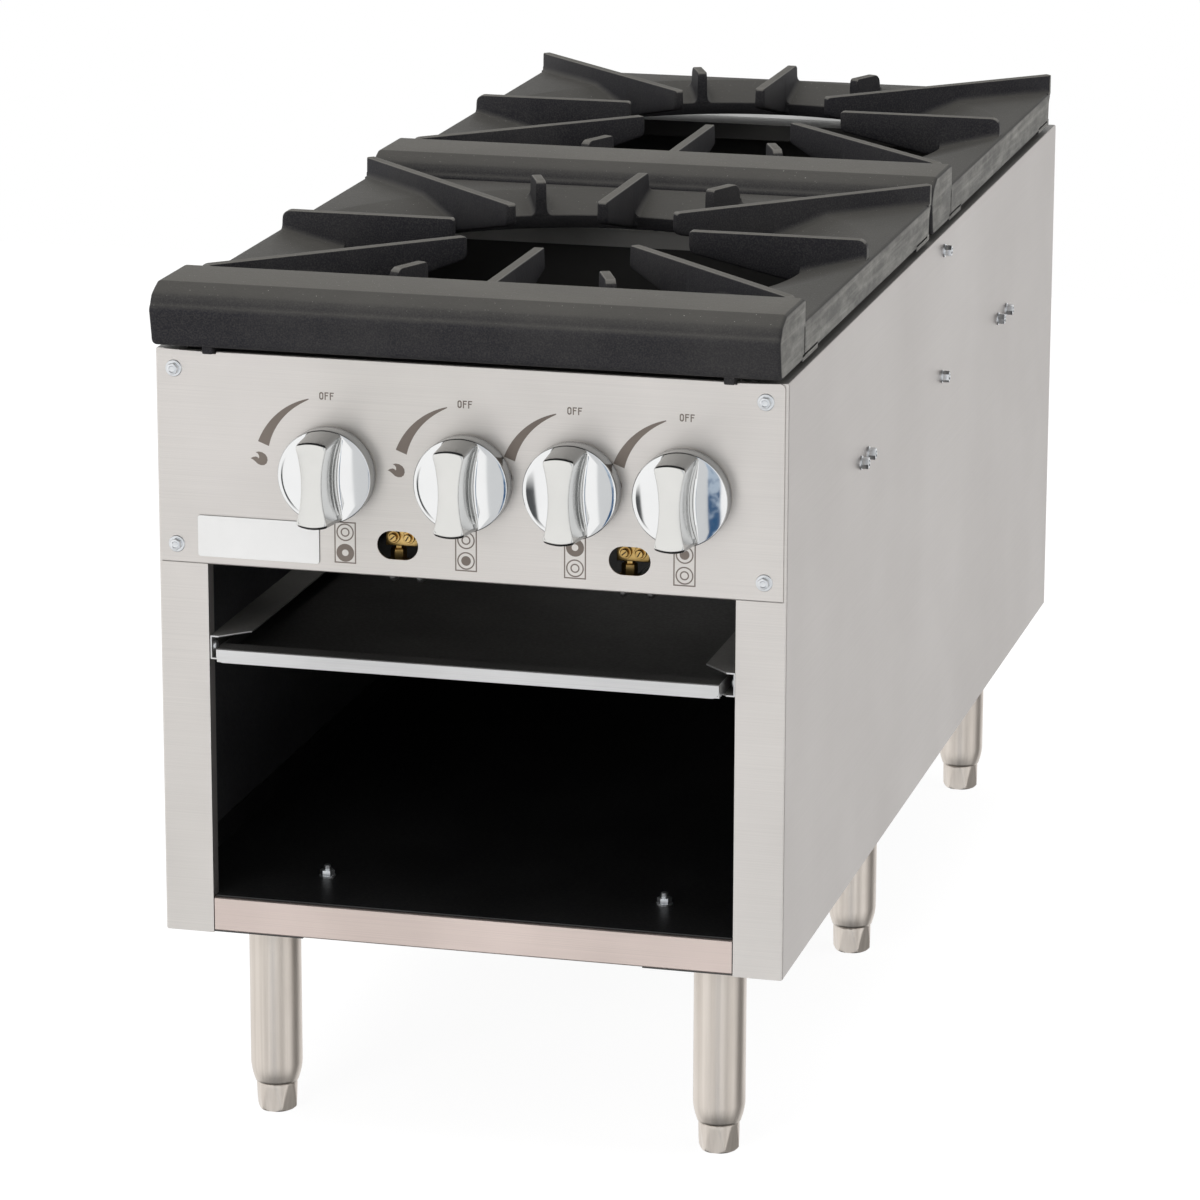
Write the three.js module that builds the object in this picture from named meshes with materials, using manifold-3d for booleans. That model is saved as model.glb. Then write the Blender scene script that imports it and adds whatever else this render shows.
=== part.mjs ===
// A two-burner stock pot range: two cast iron top grates in line over a narrow stainless cabinet
// on six legs, with four gas valves behind the control panel and a spill tray on rails.
// Inside this file x runs across, y from the cabinet's front face towards the back, z up from the floor.
import * as THREE from "three";
import { mergeVertices } from "three/addons/utils/BufferGeometryUtils.js";
import Module from "manifold-3d";

const wasm = await Module();
wasm.setup();

// ---------------------------------------------------------------- driving dimensions, millimetres
const CABINET_WIDTH = 457.2;
const CABINET_DEPTH = 1066.8;
const CABINET_HEIGHT = 430.6;
const LEG_HEIGHT = 155;
const SHEET = 1.2;
const SEAM = 0.3;
const CLEARANCE = 0.6;
const OVERCUT = 1;
const HAIR = 0.01;

// The hexagon screws in each side: how far back, and how far below the cabinet's top.
const SIDE_SCREWS = [[558, 13.6], [558, 114.3], [248, 112.2], [273, 110.9], [801, 117.6], [838, 117.2]];
const SCREW_HEAD = 6.4;
const SCREW_ACROSS_CORNERS = 9.2;
const SCREW_WASHER = 1.4;
const SCREW_WASHER_DIAMETER = 10.8;

const STILE_WIDTH = 36.2;
const STILE_HEM = 12;
const BASE_FLANGE = 20;
const TOP_FLANGE = 22;
const REAR_FLANGE = 32;

const PANEL_HEIGHT = 155.2;
const PANEL_INSET = 2.5;
const PANEL_CORNER = 4;
const PANEL_TOP_RETURN = 24;
const PANEL_FOOT_RETURN = 14;
const PANEL_NOTCH_WIDTH = 9;
const PANEL_NOTCH_DEPTH = 2.2;
const NAMEPLATE_WIDTH = 90;
const NAMEPLATE_HEIGHT = 30;
const NAMEPLATE_THICKNESS = 1;
const NAMEPLATE_LEFT = 30;
const NAMEPLATE_UP = 6;

const KNOB_UP = 73;
const KNOB_PITCH = 78.5;
const FIRST_KNOB_GAP = 99;
const LAST_KNOB_INSET = 72.6;
const KNOB_DIAMETER = 67.6;
const KNOB_SKIRT = 16.5;
const KNOB_GRIP = 28;
const KNOB_LIFT = 1.5;
const KNOB_EDGE = 1.2;
const GRIP_WAIST = 15;
const GRIP_END = 24;
const GRIP_TAPER = 2.8;

const STEM_DIAMETER = 6.4;
const STEM_FLAT = 1.2;
const STEM_GRIP = 22;
const STEM_SOCKET = 12;
const SLOT_WIDTH = 30;
const SLOT_HEIGHT = 20.5;
const SLOT_UP = 23;
const SLOT_SHIFT = 0.8;

const PIPE_DIAMETER = 26.7;
const PIPE_Y = 45;
const PIPE_DROP = 27;
const PIPE_BEND = 30;
const SUPPLY_INSET = 38.6;
const PIPE_CAP_WALL = 4;
const INLET_STUB = 25.4;
const INLET_BORE = 20.9;
const INLET_BORE_DEPTH = 60;
const GAS_LINE_DIAMETER = 12.7;
const GAS_LINE_BEND = 40;
const NOZZLE_DIAMETER = 18;
const NOZZLE_LENGTH = 14;
const VALVE_FRONT = 16;
const VALVE_BACK = 56;
const VALVE_DIAMETER = 24;
const VALVE_NOSE_DIAMETER = 16;
const VALVE_NOSE_LENGTH = 7;
const VALVE_SHOULDER = 2;
const VALVE_TAIL = 4;
const VALVE_TAIL_DIAMETER = 18;
const VALVE_SHANK_DIAMETER = 15;
const HOOD_CORNERS = 17;
const HOOD_LENGTH = 18;

const PILOT_SCREW_SPACING = 10.7;
const PILOT_SCREW_UP = 4;
const PILOT_SCREW_DIAMETER = 5.2;
const PILOT_SCREW_LENGTH = 5;
const PILOT_COLLAR_DIAMETER = 8;
const PILOT_COLLAR_LENGTH = 3;
const PILOT_SLOT_DEPTH = 1;
const PILOT_BODY_Y = 10;
const PILOT_BODY_DEPTH = 20;
const PILOT_BODY_RISE = 11;
const PILOT_BODY_DROP = 3;
const PILOT_ARM_WIDTH = 14;
const PILOT_ARM_RISE = 8;
const PILOT_ARM_LAP = 4;
const PILOT_OUTLET_DIAMETER = 8.4;
const PILOT_OUTLET_DROP = 18;
const PILOT_OUTLET_Y = 20;
const PILOT_TUBE_DIAMETER = 4.8;
const PILOT_TUBE_BEND = 10;
const PILOT_TUBE_SPACING = 20;
const PILOT_HEAD_DIAMETER = 10;
const PILOT_DIP = 7;
const INNER_PILOT_ANGLE = 0.4;

const BURNER_SETBACK = 15.5;
const OUTER_RING_RADIUS = 118;
const INNER_RING_RADIUS = 62;
const RING_BAND = 26;
const RING_HEIGHT = 32;
const RING_ABOVE_TUBE = 19;
const RING_KEEL = 6;
const RING_BEVEL = 8;
const RING_BEVEL_IN = 4;
const MIXING_TUBE_DIAMETER = 32;
const VENTURI_DIAMETER = 44;
const VENTURI_LENGTH = 24;
const VENTURI_LIP = 4;
const VENTURI_WALL = 3;
const VENTURI_NECK = 0.75;
const VENTURI_THROAT = 0.6;
const BURNER_GAP = 8;
const RISER_RADIUS = 0.72;
const HEEL_DROP = 0.9;
const HEEL_EDGE = 0.7;
const BURNER_LEG = 14;
const BURNER_LEG_DROP = 48;
const SUPPORT_WIDTH = 30;
const SUPPORT_THICKNESS = 3;
const SUPPORT_JOGGLE = 29;
const SUPPORT_END = 62.1;
const SUPPORT_SLOPE = 8;

const BOTTOM_RAIL_HEIGHT = 25;
const BOTTOM_RAIL_RETURN = 20;
const BRACKET_SHEET = 1.2;
const BRACKET_REACH = 42;
const BRACKET_LENGTH = 94;
const BRACKET_LIP = 16;
const SHELF_TURN_UP = 18;

const TRAY_RAIL_HEIGHT = 17.5;
const TRAY_RAIL_FOOT = 15;
const TRAY_RAIL_SHELTER = 24;
const TRAY_RAIL_DROP = 53;
const TRAY_RAIL_MITRE = 19;
const TRAY_DEPTH = 10;
const TRAY_OVERHANG = 10;
const TRAY_SIDE_CLEARANCE = 7.4;
const TRAY_LIP = 15;
const TRAY_REAR_CLEARANCE = 60;
const TRAY_FACE = 1.5;
const TRAY_FACE_CORNER = 5;

const LEG_SIDE_INSET = 60.6;
const LEG_FRONT_Y = 68.5;
const LEG_REAR_INSET = 65.8;
const LEG_DIAMETER = 38.1;
const LEG_NECK_DIAMETER = 32;
const LEG_TAPER = 14.5;
const LEG_TAPER_CURVE = 0.7;
const LEG_STUD_DIAMETER = 12;
const LEG_STUD_LENGTH = 12;
const FOOT_HEIGHT = 21.5;
const FOOT_DIAMETER = 30;
const FOOT_HEX_ACROSS_TOP = 30;
const FOOT_HEX_ACROSS_BASE = 25.5;
const FOOT_CHAMFER = 2;
const FOOT_STEM_DIAMETER = 16;
const FOOT_STEM_LENGTH = 52;

const GRATE_SIDE_GAP = 2.1;
const GRATE_PITCH_SPARE = 1.6;
const GRATE_GAP = 3;
const GRATE_HEIGHT = 48.4;
const GRATE_SKIRT_LIFT = 6.4;
const GRATE_DECK = 32.4;
const GRATE_WALL = 10;
const GRATE_PLATE = 9;
const GRATE_DRAFT = 7;
const RING_OPENING_RADIUS = 174;
const RING_EDGE = 20.4;
const RING_WALL_FOOT = 10.4;
const CONE_RADIUS = 222;
const NOSE_OVERHANG = 19;
const NOSE_LIFT = 4.4;
const NOSE_REAR = 60;
const NOSE_WALL = 11;
const NOSE_CAVITY_Y = 15;
const NOSE_CROWN = 21;
const NOSE_CROWN_END = 9;
const NOSE_BROW = 4;
const NOSE_BROW_DROP = 7;
const NOSE_CHEEK_DROP = 13;
const NOSE_BULGE = 3;
const NOSE_CHIN = 4;
const NOSE_CHIN_RISE = 7;
const NOSE_FOOT = 12;
const FINGER_THICKNESS = 8;
const FINGER_BELOW_NOSE = 1.2;
const FINGER_TIP_RADIUS = 90;
const FINGER_TIP_DEPTH = 15.5;
const FINGER_TIP_ROUND = 3;
const FINGER_ROOT = 11.5;
const FINGER_ROOT_INSET = 2;
const FINGER_SIDE_INSET = 2.5;
const FINGER_REAR_INSET = 7;
const FINGER_FRONT_INSET = 10.5;
const FINGER_ROUND = 7;
const NUB_ANGLE = 22.5;
const NUB_LENGTH = 35;
const NUB_DRAFT = 1.5;
const NUB_FOOT = 4;
const PAD_LENGTH = 50;
const PAD_WIDTH = 18;
const PAD_DROP = 2.3;
const PAD_RISE = 4;
const PAD_NOSE_LAP = 8;
const LUG_WIDTH = 7.5;
const LUG_DROP = 1.4;
const LUG_FRONT = 13;

const MIDDLE_RAIL_WIDTH = 35;
const MIDDLE_RAIL_SETBACK = 8;
const TOP_RAIL_WEB = 13.6;
const REAR_RAIL_WIDTH = 35;
const DIVIDER_HEIGHT = 64;

// ---------------------------------------------------------------- sizes that follow from them
const halfWidth = CABINET_WIDTH / 2;
const cabinetTop = LEG_HEIGHT + CABINET_HEIGHT;
const insideX = halfWidth - SHEET - SEAM;
const openingX = halfWidth - STILE_WIDTH;
const stileY = SHEET + SEAM;
const panelFoot = cabinetTop - PANEL_HEIGHT;
const knobZ = panelFoot + KNOB_UP;
const slotZ = panelFoot + SLOT_UP;
const lastKnobX = halfWidth - LAST_KNOB_INSET;
const knobXs = [
  lastKnobX - 2 * KNOB_PITCH - FIRST_KNOB_GAP,
  lastKnobX - 2 * KNOB_PITCH,
  lastKnobX - KNOB_PITCH,
  lastKnobX,
];
const slotFrontX = (knobXs[0] + knobXs[1]) / 2 - SLOT_SHIFT;
const slotRearX = (knobXs[2] + knobXs[3]) / 2;
const knobReach = KNOB_LIFT + KNOB_SKIRT + KNOB_GRIP;
const rearReach = CABINET_DEPTH + INLET_STUB;
const pipeZ = knobZ - PIPE_DROP;
const supplyX = halfWidth - SUPPLY_INSET;
const pipeTop = pipeZ + PIPE_DIAMETER / 2;
const backPanelY = CABINET_DEPTH - 2 * SHEET - SEAM;
const railBaseZ = LEG_HEIGHT + SHEET + SEAM;
const shelfZ = railBaseZ + BOTTOM_RAIL_HEIGHT + SEAM;
const trayRailX = openingX - SEAM - SHEET;
const trayRailTop = panelFoot - TRAY_RAIL_DROP;
const trayRailFoot = trayRailTop - TRAY_RAIL_HEIGHT;
const trayX = trayRailX - TRAY_SIDE_CLEARANCE;
const trayZ = trayRailFoot + SHEET + SEAM;
const trayRear = backPanelY - TRAY_REAR_CLEARANCE;
const legYs = [
  LEG_FRONT_Y,
  (LEG_FRONT_Y + CABINET_DEPTH - LEG_REAR_INSET) / 2,
  CABINET_DEPTH - LEG_REAR_INSET,
];
const legX = halfWidth - LEG_SIDE_INSET;
const bracketZ = LEG_HEIGHT;
const bracketInnerX = legX - BRACKET_REACH;
const legTop = bracketZ - SEAM;
const ringBase = knobZ + RING_ABOVE_TUBE;
const supportTop = ringBase - BURNER_LEG_DROP - SEAM;
const supportStepX = insideX - SUPPORT_END;
const hoodEnd = VALVE_BACK + HOOD_LENGTH - OVERCUT;
const gratePitch = CABINET_DEPTH / 2 + GRATE_PITCH_SPARE;
const grateRear = gratePitch - NOSE_OVERHANG - GRATE_GAP;
const burnerY = gratePitch / 2 + BURNER_SETBACK;
const burnerYs = [burnerY, burnerY + gratePitch];

// ---------------------------------------------------------------- solids
const FINE_ROUND = 64;
const ROUND = 28;
const SMALL_ROUND = 12;
const TINY_ROUND = 8;

// Corners lie on a fine grid, so that faces meant to be flush are exactly flush.
const GRID = 1024;
function solid(geometry) {
  const bare = geometry.clone();
  bare.deleteAttribute("normal");
  bare.deleteAttribute("uv");
  const merged = mergeVertices(bare, 1e-4);
  const corners = Float32Array.from(merged.attributes.position.array, (v) => Math.round(v * GRID) / GRID);
  const faces = Uint32Array.from(merged.index.array);
  const build = () =>
    new wasm.Manifold(new wasm.Mesh({ numProp: 3, vertProperties: corners, triVerts: faces }));
  const first = build();
  if (first.volume() > 0) return first;
  for (let i = 0; i < faces.length; i += 3) [faces[i], faces[i + 1]] = [faces[i + 1], faces[i]];
  return build();
}

// Corners nearer to each other than the weld are one corner, and faces that close up are dropped.
const WELD = 0.02;

function geometryOf(body) {
  const { vertProperties, triVerts } = body.getMesh();
  const raw = new THREE.BufferGeometry();
  raw.setAttribute("position", new THREE.BufferAttribute(vertProperties, 3));
  raw.setIndex(new THREE.BufferAttribute(triVerts, 1));
  const welded = mergeVertices(raw, WELD);
  const corners = welded.index.array;
  const faces = [];
  for (let i = 0; i < corners.length; i += 3) {
    const [a, b, c] = corners.slice(i, i + 3);
    if (a !== b && b !== c && c !== a) faces.push(a, b, c);
  }
  welded.setIndex(faces);
  const faceted = welded.toNonIndexed();
  faceted.computeVertexNormals();
  return faceted;
}

const join = (...bodies) => bodies.reduce((whole, next) => whole.add(next));

function block(x0, x1, y0, y1, z0, z1) {
  const geometry = new THREE.BoxGeometry(Math.abs(x1 - x0), Math.abs(y1 - y0), Math.abs(z1 - z0));
  geometry.translate((x0 + x1) / 2, (y0 + y1) / 2, (z0 + z1) / 2);
  return solid(geometry);
}

const outline = (points) => new THREE.Shape(points.map(([a, b]) => new THREE.Vector2(a, b)));

function slab(shape, depth, basis) {
  const geometry = new THREE.ExtrudeGeometry(shape, { depth, bevelEnabled: false, curveSegments: 4 });
  return geometry.applyMatrix4(basis);
}

// An outline in x and z, swept from y0 to y1.
function sweepY(shape, y0, y1) {
  const basis = new THREE.Matrix4().makeRotationX(Math.PI / 2).setPosition(0, y1, 0);
  return solid(slab(shape, y1 - y0, basis));
}

// An outline in y and z, swept from x0 to x1.
function sweepX(shape, x0, x1) {
  const across = new THREE.Vector3(0, 1, 0);
  const up = new THREE.Vector3(0, 0, 1);
  const out = new THREE.Vector3(1, 0, 0);
  const basis = new THREE.Matrix4().makeBasis(across, up, out).setPosition(x0, 0, 0);
  return solid(slab(shape, x1 - x0, basis));
}

function regularOutline(radius, sides, a, b) {
  const corner = (_, i) => {
    const turn = (2 * Math.PI * i) / sides;
    return [a + radius * Math.cos(turn), b + radius * Math.sin(turn)];
  };
  return outline(Array.from({ length: sides }, corner));
}

// A profile of radius and height turned about the z axis, moved to (x, y).
function turnZ(profile, x = 0, y = 0, segments = ROUND) {
  const points = profile.map(([r, z]) => new THREE.Vector2(r, z));
  const geometry = new THREE.LatheGeometry(points, segments);
  geometry.rotateX(Math.PI / 2);
  return solid(geometry.translate(x, y, 0));
}

// A profile of radius and y turned about an axis along y, moved to (x, z).
function turnY(profile, x = 0, z = 0, segments = SMALL_ROUND) {
  const points = profile.map(([r, y]) => new THREE.Vector2(r, y));
  return solid(new THREE.LatheGeometry(points, segments).translate(x, 0, z));
}

const postZ = (radius, z0, z1, x = 0, y = 0, segments = SMALL_ROUND) =>
  turnZ([[0, z0], [radius, z0], [radius, z1], [0, z1]], x, y, segments);

const barY = (radius, y0, y1, x = 0, z = 0, segments = SMALL_ROUND) =>
  turnY([[0, y0], [radius, y0], [radius, y1], [0, y1]], x, z, segments);

function roundedRectangle(x0, x1, z0, z1, radius) {
  const shape = new THREE.Shape();
  shape.moveTo(x0 + radius, z0);
  shape.lineTo(x1 - radius, z0).absarc(x1 - radius, z0 + radius, radius, -Math.PI / 2, 0);
  shape.lineTo(x1, z1 - radius).absarc(x1 - radius, z1 - radius, radius, 0, Math.PI / 2);
  shape.lineTo(x0 + radius, z1).absarc(x0 + radius, z1 - radius, radius, Math.PI / 2, Math.PI);
  shape.lineTo(x0, z0 + radius).absarc(x0 + radius, z0 + radius, radius, Math.PI, 1.5 * Math.PI);
  return shape;
}

// A route of straight runs between the given corners, with a bend at each corner.
// It is stepped only where it turns.
class Route extends THREE.Curve {
  constructor(corners, bend, turns) {
    super();
    this.stops = [new THREE.Vector3(...corners[0])];
    this.headings = [];
    const points = corners.map((corner) => new THREE.Vector3(...corner));
    const heading = (i) => points[i + 1].clone().sub(points[i]).normalize();
    this.headings.push(heading(0));
    for (let i = 1; i < points.length - 1; i++) {
      const room = 0.45 * Math.min(points[i].distanceTo(points[i - 1]), points[i].distanceTo(points[i + 1]));
      const into = points[i].clone().addScaledVector(heading(i - 1), -Math.min(bend, room));
      const out = points[i].clone().addScaledVector(heading(i), Math.min(bend, room));
      const curve = new THREE.QuadraticBezierCurve3(into, points[i], out);
      for (let step = 0; step <= turns; step++) {
        this.stops.push(curve.getPoint(step / turns));
        this.headings.push(curve.getTangent(step / turns));
      }
    }
    this.stops.push(points.at(-1));
    this.headings.push(heading(points.length - 2));
    this.steps = this.stops.length - 1;
  }

  getPointAt(u, target = new THREE.Vector3()) {
    return target.copy(this.stops[Math.round(u * this.steps)]);
  }

  getTangentAt(u, target = new THREE.Vector3()) {
    return target.copy(this.headings[Math.round(u * this.steps)]);
  }
}

// A round pipe along a route.
function pipeRun(corners, bend, radius, sides = 8, turns = 4) {
  const route = new Route(corners, bend, turns);
  const section = new THREE.Shape();
  section.absarc(0, 0, radius, 0, 2 * Math.PI);
  const rim = section.getPoints(sides);
  const geometry = new THREE.ExtrudeGeometry(outline(rim.slice(0, sides).map(({ x, y }) => [x, y])), {
    steps: route.steps,
    extrudePath: route,
    bevelEnabled: false,
  });
  return solid(geometry);
}

// ---------------------------------------------------------------- finishes
const finish = (color, roughness, metalness) =>
  new THREE.MeshStandardMaterial({ color, roughness, metalness });
const stainless = finish(0xc8c4c0, 0.35, 0.9);
const warmStainless = finish(0xcdbeb4, 0.35, 0.9);
const darkSheet = finish(0x1a1a1b, 0.5, 0.4);
const galvanised = finish(0xa9a9a5, 0.45, 0.8);
const castIron = finish(0x4a4846, 0.75, 0.3);
const chrome = finish(0xe6e7e9, 0.08, 1);
const brass = finish(0xb98a3c, 0.3, 0.9);
const pipeSteel = finish(0x3c3b39, 0.6, 0.5);
const legSteel = finish(0xc4b9ae, 0.3, 0.9);
const aluminium = finish(0xb9b9b8, 0.35, 0.9);
const plainPlate = finish(0xdcdcda, 0.3, 0.8);

const range = new THREE.Group();
range.position.y = (knobReach - rearReach) / 2;

function add(name, body, material, x = 0, y = 0, z = 0) {
  const mesh = new THREE.Mesh(geometryOf(body), material);
  mesh.name = name;
  mesh.position.set(x, y, z);
  range.add(mesh);
}

// ---------------------------------------------------------------- cabinet
// A hexagon head and its washer, standing on the side skin.
function sideScrew(side, y, z) {
  const standing = (diameter, sides, height) => {
    const ends = [side * (halfWidth - SHEET / 2), side * (halfWidth + height)];
    return sweepX(regularOutline(diameter / 2, sides, y, z), Math.min(...ends), Math.max(...ends));
  };
  const washer = standing(SCREW_WASHER_DIAMETER, SMALL_ROUND, SCREW_WASHER);
  return washer.add(standing(SCREW_ACROSS_CORNERS, 6, SCREW_HEAD));
}

function sidePanel(side) {
  const outer = side * halfWidth;
  const inward = (width) => side * (halfWidth - width);
  const skin = block(inward(SHEET), outer, stileY, CABINET_DEPTH, LEG_HEIGHT, cabinetTop);
  const stile = block(inward(STILE_WIDTH), outer, stileY, stileY + SHEET, LEG_HEIGHT, cabinetTop);
  const hemX = inward(STILE_WIDTH - SHEET);
  const hem = block(inward(STILE_WIDTH), hemX, stileY, stileY + STILE_HEM, railBaseZ, cabinetTop);
  const foot = block(inward(BASE_FLANGE), outer, stileY, CABINET_DEPTH, LEG_HEIGHT, LEG_HEIGHT + SHEET);
  const top = block(inward(TOP_FLANGE), outer, stileY, CABINET_DEPTH, cabinetTop - SHEET, cabinetTop);
  const rearY = CABINET_DEPTH - SHEET;
  const rear = block(inward(BASE_FLANGE), outer, rearY, CABINET_DEPTH, LEG_HEIGHT, cabinetTop);
  const screws = SIDE_SCREWS.map(([y, drop]) => sideScrew(side, y, cabinetTop - drop));
  return join(skin, stile, hem, foot, top, rear, ...screws);
}

function backPanel() {
  const foot = railBaseZ + SHEET;
  const sheet = block(-insideX, insideX, backPanelY, backPanelY + SHEET, foot, cabinetTop);
  const topX = halfWidth - TOP_FLANGE - SEAM;
  const front = CABINET_DEPTH - REAR_FLANGE;
  const ledge = block(-topX, topX, front, backPanelY + SHEET, cabinetTop - SHEET, cabinetTop);
  const wideX = topX + 2 * TOP_FLANGE;
  const clearOfFlanges = cabinetTop - SHEET - SEAM;
  const notch = (side) =>
    block(side * topX, side * wideX, front, CABINET_DEPTH, clearOfFlanges, cabinetTop + SHEET);
  const holeR = PIPE_DIAMETER / 2 + CLEARANCE;
  const pipeHole = barY(holeR, backPanelY - SHEET, CABINET_DEPTH, supplyX, pipeZ, ROUND);
  return join(sheet, ledge).subtract(notch(-1)).subtract(notch(1)).subtract(pipeHole);
}

function bottomFrontRail() {
  const endX = openingX - CLEARANCE;
  const top = railBaseZ + BOTTOM_RAIL_HEIGHT;
  const back = stileY + BOTTOM_RAIL_RETURN;
  const face = block(-endX, endX, stileY, stileY + SHEET, railBaseZ, top);
  const ledge = block(-endX, endX, stileY, back, top - SHEET, top);
  const lip = block(-endX, endX, stileY, back, railBaseZ, railBaseZ + SHEET);
  return join(face, ledge, lip);
}

function bottomShelf() {
  const front = stileY + SHEET + 2 * CLEARANCE;
  const wideFrom = stileY + STILE_HEM + CLEARANCE;
  const back = backPanelY - SEAM;
  const tongueX = openingX - 2 * CLEARANCE;
  const top = shelfZ + SHEET;
  const tongue = block(-tongueX, tongueX, front, wideFrom + SHEET, shelfZ, top);
  const deck = block(-insideX, insideX, wideFrom, back, shelfZ, top);
  const turnUp = (side) =>
    block(side * (insideX - SHEET), side * insideX, wideFrom, back, shelfZ, top + SHELF_TURN_UP);
  const rear = block(-insideX, insideX, back - SHEET, back, shelfZ, top + SHELF_TURN_UP);
  return join(tongue, deck, turnUp(-1), turnUp(1), rear);
}

function controlPanel() {
  const edgeX = halfWidth - PANEL_INSET;
  const face = sweepY(roundedRectangle(-edgeX, edgeX, panelFoot, cabinetTop, PANEL_CORNER), 0, SHEET);
  const squareFoot = block(-edgeX, edgeX, 0, SHEET, panelFoot, panelFoot + 2 * PANEL_CORNER);
  const notchX = openingX - PANEL_NOTCH_WIDTH;
  const topX = notchX - CLEARANCE;
  const top = block(-topX, topX, 0, PANEL_TOP_RETURN, cabinetTop - SHEET, cabinetTop);
  const footX = openingX - 5 * CLEARANCE;
  const foot = block(-footX, footX, 0, PANEL_FOOT_RETURN, panelFoot, panelFoot + SHEET);
  let panel = join(face, squareFoot, top, foot);
  const ahead = -OVERCUT;
  const behind = SHEET + OVERCUT;
  for (const side of [-1, 1]) {
    const low = cabinetTop - PANEL_NOTCH_DEPTH;
    const notch = block(side * notchX, side * openingX, ahead, behind, low, cabinetTop + OVERCUT);
    panel = panel.subtract(notch);
  }
  for (const x of knobXs) {
    const stemHole = STEM_DIAMETER / 2 + 3 * CLEARANCE;
    panel = panel.subtract(barY(stemHole, ahead, behind, x, knobZ, TINY_ROUND));
  }
  const w = SLOT_WIDTH / 2;
  const h = SLOT_HEIGHT / 2;
  for (const x of [slotFrontX, slotRearX]) {
    const slot = roundedRectangle(x - w, x + w, slotZ - h, slotZ + h, h - HAIR);
    panel = panel.subtract(sweepY(slot, ahead, behind));
  }
  return panel;
}

function nameplate() {
  const left = -halfWidth + NAMEPLATE_LEFT;
  const low = panelFoot + NAMEPLATE_UP;
  const shape = roundedRectangle(left, left + NAMEPLATE_WIDTH, low, low + NAMEPLATE_HEIGHT, PANEL_CORNER / 2);
  return sweepY(shape, -NAMEPLATE_THICKNESS - SEAM / 2, -SEAM / 2);
}

add("left_side_panel", sidePanel(-1), stainless);
add("right_side_panel", sidePanel(1), stainless);
add("back_panel", backPanel(), galvanised);
add("bottom_shelf", bottomShelf(), darkSheet);
add("bottom_front_rail", bottomFrontRail(), warmStainless);
add("control_panel", controlPanel(), stainless);
add("nameplate", nameplate(), plainPlate);

// ---------------------------------------------------------------- rails inside the top
// A channel across the cabinet under the grates' ends, its top level with the side flanges.
function topRail(front, width) {
  const flangeX = halfWidth - TOP_FLANGE - SEAM;
  const under = cabinetTop - SHEET - SEAM;
  const low = cabinetTop - TOP_RAIL_WEB;
  const back = front + width;
  const plate = block(-flangeX, flangeX, front, back, cabinetTop - SHEET, cabinetTop);
  const frontWeb = block(-insideX, insideX, front, front + SHEET, low, under);
  const backWeb = block(-insideX, insideX, back - SHEET, back, low, under);
  const frontJoin = block(-flangeX, flangeX, front, front + SHEET, low, cabinetTop);
  const backJoin = block(-flangeX, flangeX, back - SHEET, back, low, cabinetTop);
  return join(plate, frontWeb, backWeb, frontJoin, backJoin);
}

const middleRailY = grateRear - MIDDLE_RAIL_SETBACK;
const rearRailY = CABINET_DEPTH - REAR_FLANGE - SEAM - REAR_RAIL_WIDTH;

function burnerBoxDivider() {
  const y = middleRailY + SHEET + SEAM;
  const top = cabinetTop - SHEET - SEAM;
  return block(-insideX, insideX, y, y + SHEET, top - DIVIDER_HEIGHT, top);
}

add("middle_top_rail", topRail(middleRailY, MIDDLE_RAIL_WIDTH), galvanised);
add("rear_top_rail", topRail(rearRailY, REAR_RAIL_WIDTH), galvanised);
add("burner_box_divider", burnerBoxDivider(), darkSheet);

// ---------------------------------------------------------------- spill tray and its rails
function trayRail(side) {
  const web = side * trayRailX;
  const shelterX = side * (trayRailX - TRAY_RAIL_SHELTER);
  const footX = side * (trayRailX - TRAY_RAIL_FOOT);
  const front = stileY + SHEET;
  const back = backPanelY - SEAM;
  const wall = block(web, side * (trayRailX + SHEET), front, back, trayRailFoot, trayRailTop);
  const shelter = block(shelterX, web, front, back, trayRailTop - SHEET, trayRailTop);
  const ledge = block(footX, web, front, back, trayRailFoot, trayRailFoot + SHEET);
  const mitre = new THREE.Shape();
  mitre.moveTo(-TRAY_RAIL_SHELTER - OVERCUT, 0);
  mitre.lineTo(-TRAY_RAIL_SHELTER - OVERCUT, TRAY_RAIL_MITRE).lineTo(-TRAY_RAIL_SHELTER, TRAY_RAIL_MITRE);
  mitre.lineTo(-TRAY_RAIL_SHELTER + TRAY_RAIL_MITRE, 0);
  const depth = TRAY_RAIL_HEIGHT + 2 * OVERCUT;
  const wedge = new THREE.ExtrudeGeometry(mitre, { depth, bevelEnabled: false });
  wedge.translate(0, 0, trayRailFoot - OVERCUT);
  wedge.scale(side, 1, 1);
  wedge.translate(web, front - HAIR, 0);
  return join(wall, shelter, ledge).subtract(solid(wedge));
}

function trayPan() {
  const front = -TRAY_OVERHANG + TRAY_FACE;
  const top = trayZ + TRAY_DEPTH;
  const floor = block(-trayX, trayX, front, trayRear, trayZ, trayZ + SHEET);
  const wall = (side) => block(side * (trayX - SHEET), side * trayX, front, trayRear, trayZ, top);
  const rear = block(-trayX, trayX, trayRear - SHEET, trayRear, trayZ, top);
  const lip = block(-trayX, trayX, front, front + TRAY_LIP, top - SHEET, top);
  const r = TRAY_FACE_CORNER;
  const plate = new THREE.Shape();
  plate.moveTo(-trayX, top).lineTo(-trayX, trayZ + r);
  plate.absarc(-trayX + r, trayZ + r, r, Math.PI, 1.5 * Math.PI);
  plate.absarc(trayX - r, trayZ + r, r, 1.5 * Math.PI, 2 * Math.PI);
  plate.lineTo(trayX, top);
  const face = sweepY(plate, -TRAY_OVERHANG, front + SHEET);
  return join(floor, wall(-1), wall(1), rear, lip, face);
}

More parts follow.
